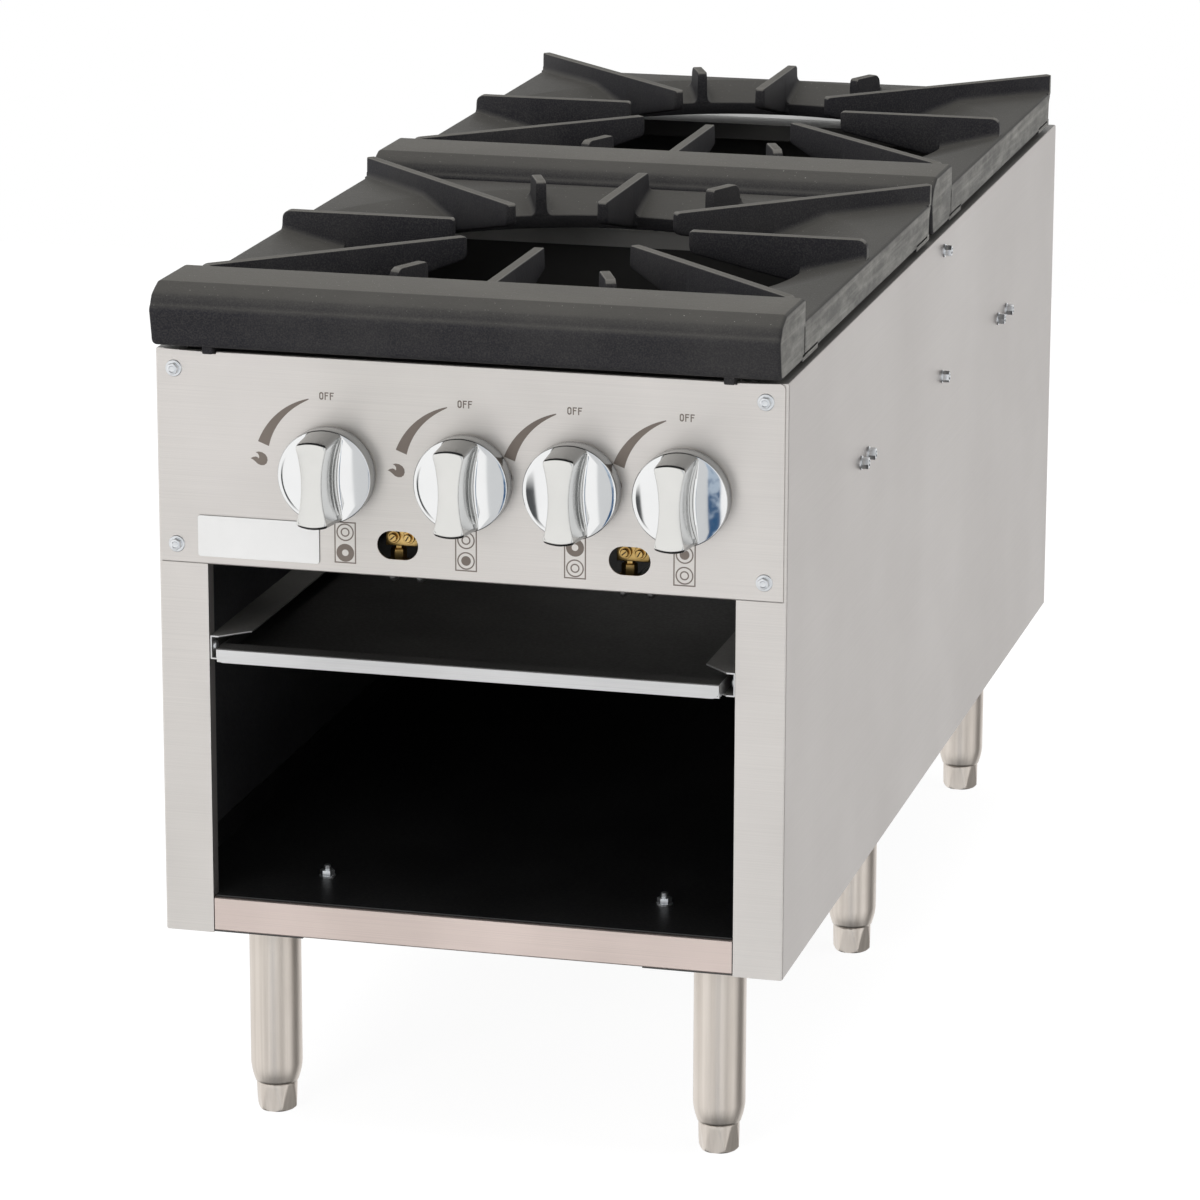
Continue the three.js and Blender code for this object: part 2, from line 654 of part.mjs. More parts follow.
add("left_tray_rail", trayRail(-1), galvanised);
add("right_tray_rail", trayRail(1), galvanised);
add("spill_tray", trayPan(), stainless);

// ---------------------------------------------------------------- legs
function legBracket(side, y0, y1, wallY0) {
  const inner = side * bracketInnerX;
  const outer = side * (halfWidth - BASE_FLANGE - CLEARANCE);
  const top = shelfZ - SEAM;
  const plate = block(inner, outer, y0, y1, bracketZ, bracketZ + BRACKET_SHEET);
  const wall = block(inner, inner + side * BRACKET_SHEET, wallY0, y1, bracketZ, top);
  const lipX = inner - side * BRACKET_LIP;
  const lip = block(lipX, inner + side * BRACKET_SHEET, wallY0, y1, top - BRACKET_SHEET, top);
  return join(plate, wall, lip);
}

function leg() {
  const r = LEG_DIAMETER / 2;
  const neck = LEG_NECK_DIAMETER / 2;
  const low = FOOT_HEIGHT + SEAM;
  const stud = LEG_STUD_DIAMETER / 2;
  const body = turnZ([
    [0, low],
    [neck, low],
    [neck + LEG_TAPER_CURVE * (r - neck), low + LEG_TAPER / 2],
    [r, low + LEG_TAPER],
    [r, legTop],
    [stud, legTop],
    [stud, legTop + LEG_STUD_LENGTH],
    [0, legTop + LEG_STUD_LENGTH],
  ], 0, 0, SMALL_ROUND);
  return body.subtract(postZ(FOOT_STEM_DIAMETER / 2 + SEAM, 0, low + FOOT_STEM_LENGTH + CLEARANCE));
}

function foot() {
  const r = FOOT_DIAMETER / 2;
  const stem = FOOT_STEM_DIAMETER / 2;
  const top = FOOT_HEIGHT + FOOT_STEM_LENGTH;
  const round = turnZ([
    [0, 0],
    [r - FOOT_CHAMFER, 0],
    [r, FOOT_CHAMFER],
    [r, FOOT_HEIGHT],
    [0, FOOT_HEIGHT],
  ], 0, 0, SMALL_ROUND);
  const toCorner = 1 / Math.sqrt(3);
  const topCorner = FOOT_HEX_ACROSS_TOP * toCorner;
  const baseCorner = FOOT_HEX_ACROSS_BASE * toCorner;
  const hexagon = new THREE.CylinderGeometry(topCorner, baseCorner, FOOT_HEIGHT, 6);
  hexagon.rotateX(Math.PI / 2).translate(0, 0, FOOT_HEIGHT / 2);
  return round.intersect(solid(hexagon)).add(postZ(stem, FOOT_HEIGHT - OVERCUT, top));
}

const legGeometry = leg();
const footGeometry = foot();
const rows = [["front", 0], ["middle", 1], ["rear", 2]];
for (const [sideName, side] of [["left", -1], ["right", 1]]) {
  for (const [rowName, row] of rows) {
    const y = legYs[row];
    const half = BRACKET_LENGTH / 2;
    const y0 = row === 0 ? stileY + 2 * SHEET : y - half;
    const wallY0 = row === 0 ? stileY + BOTTOM_RAIL_RETURN + CLEARANCE : y0;
    const x = side * legX;
    const holeTop = bracketZ + BRACKET_SHEET + OVERCUT;
    const hole = postZ(LEG_STUD_DIAMETER / 2 + SEAM, bracketZ - OVERCUT, holeTop, x, y);
    const bracket = legBracket(side, y0, y + half, wallY0).subtract(hole);
    add(`${sideName}_${rowName}_leg_bracket`, bracket, darkSheet);
    add(`${sideName}_${rowName}_leg`, legGeometry, legSteel, x, y);
    add(`${sideName}_${rowName}_foot`, footGeometry, legSteel, x, y);
  }
}

// ---------------------------------------------------------------- gas pipe, valves and lines
function manifoldPipe() {
  const r = PIPE_DIAMETER / 2;
  const left = knobXs[0] - KNOB_PITCH;
  const run = pipeRun([
    [left, PIPE_Y, pipeZ],
    [supplyX, PIPE_Y, pipeZ],
    [supplyX, rearReach, pipeZ],
  ], PIPE_BEND, r, SMALL_ROUND);
  const bore = barY(INLET_BORE / 2, rearReach - INLET_BORE_DEPTH, rearReach + OVERCUT, supplyX, pipeZ);
  const corners = r + PIPE_CAP_WALL;
  const cap = new THREE.CylinderGeometry(corners, corners, 2 * r, 6).rotateZ(Math.PI / 2);
  return run.subtract(bore).add(solid(cap.translate(left, PIPE_Y, pipeZ)));
}

function burnerValve() {
  const shankFoot = pipeTop + SEAM - knobZ;
  const shoulder = VALVE_FRONT + VALVE_NOSE_LENGTH;
  const body = turnY([
    [0, VALVE_FRONT],
    [VALVE_NOSE_DIAMETER / 2, VALVE_FRONT],
    [VALVE_NOSE_DIAMETER / 2, shoulder],
    [VALVE_DIAMETER / 2, shoulder + VALVE_SHOULDER],
    [VALVE_DIAMETER / 2, VALVE_BACK - VALVE_TAIL],
    [VALVE_TAIL_DIAMETER / 2, VALVE_BACK],
    [0, VALVE_BACK],
  ]);
  const hood = new THREE.CylinderGeometry(HOOD_CORNERS / 2, HOOD_CORNERS / 2, HOOD_LENGTH, 6);
  hood.translate(0, hoodEnd - HOOD_LENGTH / 2, 0);
  const shank = postZ(VALVE_SHANK_DIAMETER / 2, shankFoot, 0, 0, PIPE_Y, TINY_ROUND);
  const socketEnd = VALVE_FRONT + STEM_SOCKET + OVERCUT;
  const socket = barY(STEM_DIAMETER / 2 + SEAM, VALVE_FRONT - OVERCUT, socketEnd, 0, 0, TINY_ROUND);
  return join(body, solid(hood), shank).subtract(socket);
}

function valveStem() {
  const r = STEM_DIAMETER / 2;
  const front = -(KNOB_LIFT + STEM_GRIP);
  const bar = barY(r, front, VALVE_FRONT + STEM_SOCKET, 0, 0, TINY_ROUND);
  const past = r + OVERCUT;
  const flat = block(-past, past, front - OVERCUT, -KNOB_LIFT, r - STEM_FLAT, past);
  return bar.subtract(flat);
}

function pilotValve() {
  const wall = (PILOT_TUBE_SPACING + PILOT_ARM_LAP) / 2;
  const back = PILOT_BODY_Y + PILOT_BODY_DEPTH;
  const body = block(-wall, wall, PILOT_BODY_Y, back, -PILOT_BODY_DROP, PILOT_BODY_RISE);
  const neck = pipeZ - slotZ - PIPE_DIAMETER / 2 - SEAM;
  const armHalf = PILOT_ARM_WIDTH / 2;
  const arm = block(-armHalf, armHalf, back - PILOT_ARM_LAP, PIPE_Y, -PILOT_BODY_DROP, PILOT_ARM_RISE);
  const shank = postZ(armHalf, -PILOT_BODY_DROP, neck, 0, PIPE_Y, TINY_ROUND);
  const pieces = [body, arm, shank];
  const collar = PILOT_BODY_Y - PILOT_COLLAR_LENGTH;
  const head = PILOT_BODY_Y - PILOT_SCREW_LENGTH;
  const z = PILOT_SCREW_UP;
  const screwR = PILOT_SCREW_DIAMETER / 2;
  const cuts = [];
  for (const side of [-1, 1]) {
    const x = (side * PILOT_SCREW_SPACING) / 2;
    const outletX = (side * PILOT_TUBE_SPACING) / 2;
    pieces.push(barY(PILOT_COLLAR_DIAMETER / 2, collar, PILOT_BODY_Y + OVERCUT, x, z, TINY_ROUND));
    pieces.push(barY(screwR, head, PILOT_BODY_Y, x, z, TINY_ROUND));
    pieces.push(postZ(PILOT_OUTLET_DIAMETER / 2, -PILOT_OUTLET_DROP, 0, outletX, PILOT_OUTLET_Y, 6));
    const half = PILOT_SLOT_DEPTH / 2;
    cuts.push(block(x - screwR, x + screwR, head - OVERCUT, head + PILOT_SLOT_DEPTH, z - half, z + half));
  }
  return join(...pieces).subtract(join(...cuts));
}

add("manifold_pipe", manifoldPipe(), pipeSteel);
knobXs.forEach((x, i) => {
  add(`burner_valve_${i + 1}`, burnerValve(), brass, x, 0, knobZ);
  add(`valve_stem_${i + 1}`, valveStem(), brass, x, 0, knobZ);
});
add("front_pilot_valve", pilotValve(), brass, slotFrontX, 0, slotZ);
add("rear_pilot_valve", pilotValve(), brass, slotRearX, 0, slotZ);

// ---------------------------------------------------------------- burners
// A ring burner about its own centre, fed by a mixing tube that reaches forward at tubeX.
function ringBurner(radius, tubeX, tubeFront) {
  const middle = radius - RING_BAND / 2;
  const top = ringBase + RING_HEIGHT;
  const ring = turnZ([
    [radius - RING_BAND, ringBase + RING_KEEL],
    [middle, ringBase],
    [radius, ringBase + RING_KEEL],
    [radius, top - RING_BEVEL],
    [radius - RING_BEVEL_IN, top],
    [radius - RING_BAND + RING_BEVEL_IN, top],
    [radius - RING_BAND, top - RING_BEVEL],
    [radius - RING_BAND, ringBase + RING_KEEL],
  ]);
  const tubeR = MIXING_TUBE_DIAMETER / 2;
  const joinY = -Math.sqrt(middle * middle - tubeX * tubeX);
  const mouth = VENTURI_DIAMETER / 2;
  const tube = turnY([
    [0, tubeFront],
    [mouth, tubeFront],
    [mouth, tubeFront + VENTURI_LIP],
    [tubeR * VENTURI_NECK, tubeFront + VENTURI_LENGTH],
    [tubeR, tubeFront + 2 * VENTURI_LENGTH],
    [tubeR, joinY],
    [0, joinY],
  ], tubeX, knobZ);
  const mouthBore = turnY([
    [0, tubeFront - OVERCUT],
    [mouth - VENTURI_WALL, tubeFront - OVERCUT],
    [tubeR * VENTURI_THROAT, tubeFront + VENTURI_LENGTH],
    [0, tubeFront + VENTURI_LENGTH],
  ], tubeX, knobZ);
  const riserR = tubeR * RISER_RADIUS;
  const riser = postZ(riserR, knobZ, ringBase + RING_HEIGHT / 2, tubeX, joinY);
  const heel = turnZ([
    [0, knobZ - tubeR * HEEL_DROP],
    [riserR, knobZ - tubeR * HEEL_EDGE],
    [riserR, knobZ + OVERCUT],
    [0, knobZ + OVERCUT],
  ], tubeX, joinY, SMALL_ROUND);
  const pieces = [ring, tube.subtract(mouthBore), riser, heel];
  const legFoot = supportTop + SEAM;
  for (const side of [-1, 1]) {
    const x = side * middle;
    const half = BURNER_LEG / 2;
    pieces.push(block(x - half, x + half, -half, half, legFoot, ringBase + RING_HEIGHT / 2));
  }
  return join(...pieces);
}

function burnerSupport() {
  const t = SUPPORT_THICKNESS;
  const low = supportTop - SUPPORT_JOGGLE;
  const rise = supportStepX + SUPPORT_SLOPE;
  const strip = outline([
    [-insideX, low - t], [-rise, low - t], [-supportStepX, supportTop - t],
    [supportStepX, supportTop - t], [rise, low - t], [insideX, low - t],
    [insideX, low], [rise + t, low], [supportStepX + t / 2, supportTop],
    [-supportStepX - t / 2, supportTop], [-rise - t, low], [-insideX, low],
  ]);
  const half = SUPPORT_WIDTH / 2;
  const tab = (side) =>
    block(side * (insideX - t), side * insideX, -half, half, low - t, low + SUPPORT_WIDTH);
  return join(sweepY(strip, -half, half), tab(-1), tab(1));
}

const venturiFront = hoodEnd + BURNER_GAP - burnerY;
for (const [place, y, name] of [[0, burnerYs[0], "front"], [1, burnerYs[1], "rear"]]) {
  const outer = ringBurner(OUTER_RING_RADIUS, knobXs[0], venturiFront);
  const inner = ringBurner(INNER_RING_RADIUS, knobXs[1], venturiFront);
  add(`${name}_outer_burner`, outer, castIron, 0, y);
  add(`${name}_inner_burner`, inner, castIron, 0, y);
  add(`${name}_burner_support`, burnerSupport(), galvanised, 0, y);
  if (place === 0) continue;
  [["outer", 2, 0], ["inner", 3, 1]].forEach(([ring, valve, target]) => {
    const mouthY = y + venturiFront - BURNER_GAP;
    const swing = mouthY - 2.2 * GAS_LINE_BEND;
    const line = pipeRun([
      [knobXs[valve], hoodEnd + SEAM, knobZ],
      [knobXs[valve], swing - (knobXs[valve] - knobXs[target]), knobZ],
      [knobXs[target], swing, knobZ],
      [knobXs[target], mouthY, knobZ],
    ], GAS_LINE_BEND, GAS_LINE_DIAMETER / 2);
    const nozzle = barY(NOZZLE_DIAMETER / 2, mouthY - NOZZLE_LENGTH, mouthY, knobXs[target], knobZ, 6);
    add(`rear_${ring}_gas_line`, line.add(nozzle), aluminium);
  });
}

// ---------------------------------------------------------------- pilot tubes
// A small tube from its outlet at fromX, under the panel's edge, to the flame tip at (x, y).
function pilotTube(fromX, x, y) {
  const startZ = slotZ - PILOT_OUTLET_DROP - SEAM;
  const dipZ = panelFoot - PILOT_DIP;
  const topZ = ringBase + RING_HEIGHT - PILOT_HEAD_DIAMETER / 2;
  const riseY = y - 3 * PILOT_TUBE_BEND;
  const jog = x === fromX ? [] : [
    [fromX, riseY - Math.abs(x - fromX), dipZ],
    [x, riseY, dipZ],
  ];
  const tube = pipeRun([
    [fromX, PILOT_OUTLET_Y, startZ],
    [fromX, PILOT_OUTLET_Y, dipZ],
    ...jog,
    [x, y, dipZ],
    [x, y, topZ],
  ], PILOT_TUBE_BEND, PILOT_TUBE_DIAMETER / 2, 6, 2);
  const head = PILOT_HEAD_DIAMETER;
  return tube.add(postZ(head / 2, topZ - head, topZ + head / 2, x, y, TINY_ROUND));
}

const betweenRings = (OUTER_RING_RADIUS - RING_BAND + INNER_RING_RADIUS) / 2;
const innerPilotX = betweenRings * Math.sin(INNER_PILOT_ANGLE);
const innerPilotY = -betweenRings * Math.cos(INNER_PILOT_ANGLE);
const outerPilotRadius = OUTER_RING_RADIUS + PILOT_HEAD_DIAMETER / 2 + 3 * CLEARANCE;
for (const [name, slotX, y, side] of [
  ["front", slotFrontX, burnerYs[0], -1],
  ["rear", slotRearX, burnerYs[1], 1],
]) {
  const outletGap = (side * PILOT_TUBE_SPACING) / 2;
  const behind = slotX - PILOT_TUBE_SPACING / 2;
  const outerX = Math.sign(behind) * Math.min(Math.abs(behind), 0.95 * outerPilotRadius);
  const outerY = -Math.sqrt(outerPilotRadius ** 2 - outerX ** 2);
  add(`${name}_outer_pilot_tube`, pilotTube(slotX + outletGap, outerX, y + outerY), aluminium);
  add(`${name}_inner_pilot_tube`, pilotTube(slotX - outletGap, innerPilotX, y + innerPilotY), aluminium);
}

// ---------------------------------------------------------------- knobs
function knob() {
  const r = KNOB_DIAMETER / 2;
  const back = -KNOB_LIFT;
  const rim = back - KNOB_SKIRT;
  const front = rim - KNOB_GRIP;
  const skirt = turnY([
    [0, back],
    [r, back],
    [r, rim + KNOB_EDGE],
    [r - KNOB_EDGE, rim],
    [0, rim],
  ], 0, 0, ROUND);
  const grip = new THREE.Shape();
  const w = GRIP_END / 2;
  const bow = GRIP_END - GRIP_WAIST;
  grip.moveTo(w, -r).quadraticCurveTo(w - bow, 0, w, r);
  grip.lineTo(-w, r).quadraticCurveTo(-w + bow, 0, -w, -r);
  const frustum = turnY([
    [0, rim + OVERCUT],
    [r - KNOB_EDGE, rim + OVERCUT],
    [r - GRIP_TAPER, front],
    [0, front],
  ], 0, 0, ROUND);
  const bore = barY(STEM_DIAMETER / 2 + SEAM, back - STEM_GRIP - CLEARANCE, OVERCUT, 0, 0, TINY_ROUND);
  return skirt.add(sweepY(grip, front - OVERCUT, rim + OVERCUT).intersect(frustum)).subtract(bore);
}

const knobBody = knob();
knobXs.forEach((x, i) => add(`knob_${i + 1}`, knobBody, chrome, x, 0, knobZ));

// ---------------------------------------------------------------- top grates
// About the burner's axis, with z measured up from the cabinet's top.
const grateX = halfWidth - GRATE_SIDE_GAP;
const rearEdge = grateRear - burnerY;
const noseRear = NOSE_REAR - burnerY;
const noseFront = -NOSE_OVERHANG - burnerY;

function deckPlate() {
  const front = noseRear - NOSE_WALL / 2;
  const outside = sweepX(outline([
    [front, GRATE_SKIRT_LIFT],
    [rearEdge - GRATE_DRAFT, GRATE_SKIRT_LIFT],
    [rearEdge, GRATE_DECK],
    [front, GRATE_DECK],
  ]), -grateX, grateX);
  const innerX = grateX - GRATE_WALL;
  const roof = GRATE_DECK - GRATE_PLATE;
  const back = rearEdge - GRATE_DRAFT - GRATE_WALL;
  const hollow = block(-innerX, innerX, noseRear, back, -OVERCUT, roof);
  const wallR = RING_OPENING_RADIUS + GRATE_WALL;
  const slope = (GRATE_DECK - RING_EDGE) / (CONE_RADIUS - RING_OPENING_RADIUS);
  const underCone = turnZ([
    [0, RING_WALL_FOOT],
    [wallR, RING_WALL_FOOT],
    [wallR, RING_EDGE - GRATE_PLATE + slope * GRATE_WALL],
    [CONE_RADIUS, roof],
    [CONE_RADIUS, GRATE_DECK],
    [0, GRATE_DECK],
  ], 0, 0, FINE_ROUND);
  const dish = turnZ([
    [0, RING_EDGE],
    [RING_OPENING_RADIUS, RING_EDGE],
    [CONE_RADIUS, GRATE_DECK],
    [CONE_RADIUS + slope, GRATE_DECK + slope],
    [0, GRATE_DECK + slope],
  ], 0, 0, FINE_ROUND);
  const opening = postZ(RING_OPENING_RADIUS, -OVERCUT, GRATE_DECK, 0, 0, FINE_ROUND);
  return outside.subtract(hollow.subtract(underCone)).subtract(dish).subtract(opening);
}

function nose() {
  const top = GRATE_HEIGHT;
  const low = NOSE_LIFT;
  const bulge = (top + low) / 2 + NOSE_BULGE;
  const shape = new THREE.Shape();
  shape.moveTo(noseRear, low).lineTo(noseRear, top).lineTo(noseFront + NOSE_CROWN, top);
  shape.quadraticCurveTo(noseFront + NOSE_CROWN_END, top, noseFront + NOSE_BROW, top - NOSE_BROW_DROP);
  shape.quadraticCurveTo(noseFront, top - NOSE_CHEEK_DROP, noseFront, bulge);
  shape.lineTo(noseFront + NOSE_CHIN, low + NOSE_CHIN_RISE);
  shape.quadraticCurveTo(noseFront + NOSE_CHIN, low, noseFront + NOSE_FOOT, low);
  const bar = sweepX(shape, -grateX, grateX);
  const innerX = grateX - NOSE_WALL;
  const hollowFront = noseFront + NOSE_CAVITY_Y;
  const hollow = block(-innerX, innerX, hollowFront, noseRear - NOSE_WALL, low - OVERCUT, top - NOSE_WALL);
  return bar.subtract(hollow);
}

// A finger's side view in radius and height, drawn along +x and turned to its angle.
const fingerTop = GRATE_HEIGHT - FINGER_BELOW_NOSE;
function finger(angle, end) {
  const low = fingerTop - FINGER_TIP_DEPTH;
  const tip = FINGER_TIP_RADIUS;
  const round = FINGER_TIP_ROUND;
  const shape = new THREE.Shape();
  shape.moveTo(tip, low + round).lineTo(tip, fingerTop - round);
  shape.quadraticCurveTo(tip, fingerTop, tip + round, fingerTop);
  shape.lineTo(end - FINGER_ROUND, fingerTop);
  shape.quadraticCurveTo(end, fingerTop, end, fingerTop - FINGER_ROUND);
  shape.lineTo(end, RING_EDGE).lineTo(RING_OPENING_RADIUS + FINGER_ROOT_INSET, FINGER_ROOT);
  shape.lineTo(tip + 2 * round, low).quadraticCurveTo(tip, low, tip, low + round);
  return standing(shape, angle);
}

// A short rib that starts at the ring's edge.
function nub(angle) {
  const inner = RING_OPENING_RADIUS;
  const outer = inner + NUB_LENGTH;
  const shape = new THREE.Shape();
  shape.moveTo(inner, RING_WALL_FOOT).lineTo(inner, GRATE_DECK).lineTo(inner + NUB_DRAFT, fingerTop);
  shape.lineTo(outer - FINGER_ROUND, fingerTop);
  shape.quadraticCurveTo(outer, fingerTop, outer, fingerTop - FINGER_ROUND);
  shape.lineTo(outer + NUB_FOOT, RING_EDGE).lineTo(inner + GRATE_WALL, RING_WALL_FOOT);
  return standing(shape, angle);
}

function standing(shape, angle) {
  const half = FINGER_THICKNESS / 2;
  const geometry = new THREE.ExtrudeGeometry(shape, {
    depth: FINGER_THICKNESS,
    bevelEnabled: false,
    curveSegments: 4,
  });
  geometry.rotateX(Math.PI / 2).translate(0, half, 0).rotateZ(angle);
  return solid(geometry);
}

function grate() {
  const quarter = Math.PI / 2;
  const corner = Math.atan2(rearEdge, grateX);
  const toCorner = Math.hypot(grateX, rearEdge) + FINGER_THICKNESS;
  const intoNose = -noseRear + NOSE_WALL / 2;
  const fingers = [
    finger(0, grateX - FINGER_SIDE_INSET),
    finger(2 * quarter, grateX - FINGER_SIDE_INSET),
    finger(quarter, rearEdge - FINGER_REAR_INSET),
    finger(-quarter, intoNose + FINGER_ROUND),
  ];
  for (const rear of [corner, 2 * quarter - corner]) fingers.push(finger(rear, toCorner));
  const toNoseEnd = (grateX - FINGER_FRONT_INSET) / Math.cos(quarter / 2);
  for (const front of [-quarter / 2, -1.5 * quarter]) fingers.push(finger(front, toNoseEnd));
  for (const side of [-1, 1]) {
    const offset = THREE.MathUtils.degToRad(NUB_ANGLE) * side;
    fingers.push(nub(quarter + offset), nub(-quarter + offset));
  }
  const envelope = block(-grateX, grateX, noseRear - NOSE_WALL / 2, rearEdge, 0, GRATE_HEIGHT);
  let casting = join(deckPlate(), nose(), join(...fingers).intersect(envelope));
  for (const side of [-1, 1]) {
    const outer = side * grateX;
    const padX = side * (grateX - PAD_WIDTH);
    for (const y of [noseRear - PAD_NOSE_LAP, rearEdge - GRATE_DRAFT - PAD_LENGTH]) {
      const padLow = GRATE_SKIRT_LIFT - PAD_DROP;
      const insideEdge = side * (grateX - GRATE_WALL);
      const pad = block(padX, outer, y, y + PAD_LENGTH, padLow, GRATE_SKIRT_LIFT + PAD_RISE);
      const rest = block(padX, insideEdge, y, y + PAD_LENGTH, SEAM, GRATE_DECK - GRATE_PLATE);
      casting = join(casting, pad, rest);
    }
  }
  return casting;
}

// The front grate alone has two lugs that drop into the notches of the control panel.
function locatingLug(side) {
  const centre = side * (openingX - PANEL_NOTCH_WIDTH / 2);
  const half = LUG_WIDTH / 2;
  const front = noseFront + LUG_FRONT;
  const top = GRATE_HEIGHT - NOSE_WALL / 2;
  return block(centre - half, centre + half, front, SHEET - burnerY, -LUG_DROP, top);
}

const plainGrate = grate();
const frontGrate = join(plainGrate, locatingLug(-1), locatingLug(1));
add("front_top_grate", frontGrate, castIron, 0, burnerYs[0], cabinetTop);
add("rear_top_grate", plainGrate, castIron, 0, burnerYs[1], cabinetTop);

export default range;
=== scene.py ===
from math import atan2, cos, degrees, hypot, pi, radians, sin, sqrt, tan

import bmesh
import bpy
from mathutils import Matrix, Vector


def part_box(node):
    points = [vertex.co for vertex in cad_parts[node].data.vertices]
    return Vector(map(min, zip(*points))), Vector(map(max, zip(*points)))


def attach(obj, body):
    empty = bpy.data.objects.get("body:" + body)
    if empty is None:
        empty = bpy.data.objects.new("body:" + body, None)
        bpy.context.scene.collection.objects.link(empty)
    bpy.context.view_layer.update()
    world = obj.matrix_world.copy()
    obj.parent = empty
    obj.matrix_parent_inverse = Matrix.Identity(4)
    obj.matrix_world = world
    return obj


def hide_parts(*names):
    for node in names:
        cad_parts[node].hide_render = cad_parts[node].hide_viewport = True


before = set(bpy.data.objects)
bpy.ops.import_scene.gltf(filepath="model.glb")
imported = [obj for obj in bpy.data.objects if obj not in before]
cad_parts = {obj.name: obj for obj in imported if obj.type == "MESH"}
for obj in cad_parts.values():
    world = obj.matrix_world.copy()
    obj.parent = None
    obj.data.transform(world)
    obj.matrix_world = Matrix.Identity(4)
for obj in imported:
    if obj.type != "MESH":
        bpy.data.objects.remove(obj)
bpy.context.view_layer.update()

# A two-burner stock pot range. Sizes are millimetres: x across, y from the cabinet's front face
# towards the back, z up from the floor. Each mesh is written in metres in the model's own frame.

MM = 0.001
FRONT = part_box("control_panel")[0].y / MM
GRATE_PITCH = (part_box("rear_top_grate")[0].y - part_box("front_top_grate")[0].y) / MM
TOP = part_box("left_side_panel")[1].z / MM
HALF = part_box("control_panel")[1].x / MM + 2.5
KNOB_X = [-100.0, -1.0, 77.5, 156.0]
KNOB_Z = 503.4
BURNER_Y = 283.0
LEG_X = 168.0
LEG_Y = {"front": 68.5, "middle": 534.75, "rear": 1001.0}


# ------------------------------------------------------------------ shaping helpers
CREASE = 32  # degrees: a sharper edge than this is drawn as one
SMALL_CREASE = 35  # the same for fasteners and ports
WELD = 0.004 * MM


class Form:
    """The corners and faces of one piece."""

    def __init__(self):
        self.corners = []
        self.faces = []

    def loop(self, points):
        first = len(self.corners)
        self.corners.extend(points)
        return list(range(first, first + len(points)))

    def bridge(self, a, b):
        for i in range(len(a)):
            j = (i + 1) % len(a)
            self.faces.append((a[i], a[j], b[j], b[i]))

    def cap(self, ring):
        self.faces.append(tuple(ring))

    def loft(self, rings, around=False):
        """Rings of equal length joined in order, with ends capped or joined round."""
        loops = [self.loop(ring) for ring in rings]
        for a, b in zip(loops, loops[1:]):
            self.bridge(a, b)
        if around:
            self.bridge(loops[-1], loops[0])
        else:
            self.cap(list(reversed(loops[0])))
            self.cap(loops[-1])

    def block(self, x0, x1, y0, y1, z0, z1, edge):
        """A box whose edges and corners are rounded."""
        steps = [(0.0, edge), (0.3 * edge, 0.3 * edge), (edge, 0.0)]

        def ring(z, inset):
            a, b, c, d = x0 + inset, x1 - inset, y0 + inset, y1 - inset
            r = edge * 0.8
            points = []
            for cx, cy, start in ((b - r, d - r, 0), (a + r, d - r, 90), (a + r, c + r, 180),
                                  (b - r, c + r, 270)):
                for k in range(4):
                    t = radians(start + 30 * k)
                    points.append((cx + r * cos(t), cy + r * sin(t), z))
            return points

        rings = [ring(z0 + dz, inset) for dz, inset in steps]
        rings += [ring(z1 - dz, inset) for dz, inset in reversed(steps)]
        self.loft(rings)


def mark_edges(bm, angle):
    for face in bm.faces:
        face.smooth = True
    for edge in bm.edges:
        sharp = len(edge.link_faces) != 2 or edge.calc_face_angle(0.0) > radians(angle)
        edge.smooth = not sharp


def settle(bm, name, finish, body, nodes, angle):
    """Writes a mesh out as a piece of the range that rides on a body."""
    mark_edges(bm, angle)
    mesh = bpy.data.meshes.new(name)
    bm.to_mesh(mesh)
    bm.free()
    piece = bpy.data.objects.new(name, mesh)
    bpy.context.scene.collection.objects.link(piece)
    for material in finish if isinstance(finish, (list, tuple)) else [finish]:
        piece.data.materials.append(material)
    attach(piece, body)
    if nodes:
        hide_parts(*nodes)
    return piece


def build(form, name, finish, body, nodes=(), angle=CREASE):
    """Makes a piece from a form, with its faces turned outwards."""
    bm = bmesh.new()
    corners = [bm.verts.new((x * MM, (y + FRONT) * MM, z * MM)) for x, y, z in form.corners]
    for face in form.faces:
        picked = []
        for i in face:
            if corners[i] not in picked:
                picked.append(corners[i])
        if len(picked) > 2:
            bm.faces.new(picked)
    bmesh.ops.remove_doubles(bm, verts=bm.verts[:], dist=WELD)
    bmesh.ops.dissolve_degenerate(bm, edges=bm.edges[:], dist=WELD * 0.5)
    bmesh.ops.recalc_face_normals(bm, faces=bm.faces[:])
    return settle(bm, name, finish, body, nodes, angle)


def level_shading(mesh):
    """Keeps broad flat faces evenly shaded: a corner takes the facing of the broadest face it touches."""
    around = [[] for _ in mesh.vertices]
    for face in mesh.polygons:
        for corner in face.vertices:
            around[corner].append(face)
    facing = []
    for face in mesh.polygons:
        for corner in face.vertices:
            near = [other for other in around[corner] if other.normal.dot(face.normal) > 0.83]
            facing.append(sum((other.normal * other.area for other in near), Vector()).normalized())
    mesh.normals_split_custom_set(facing)


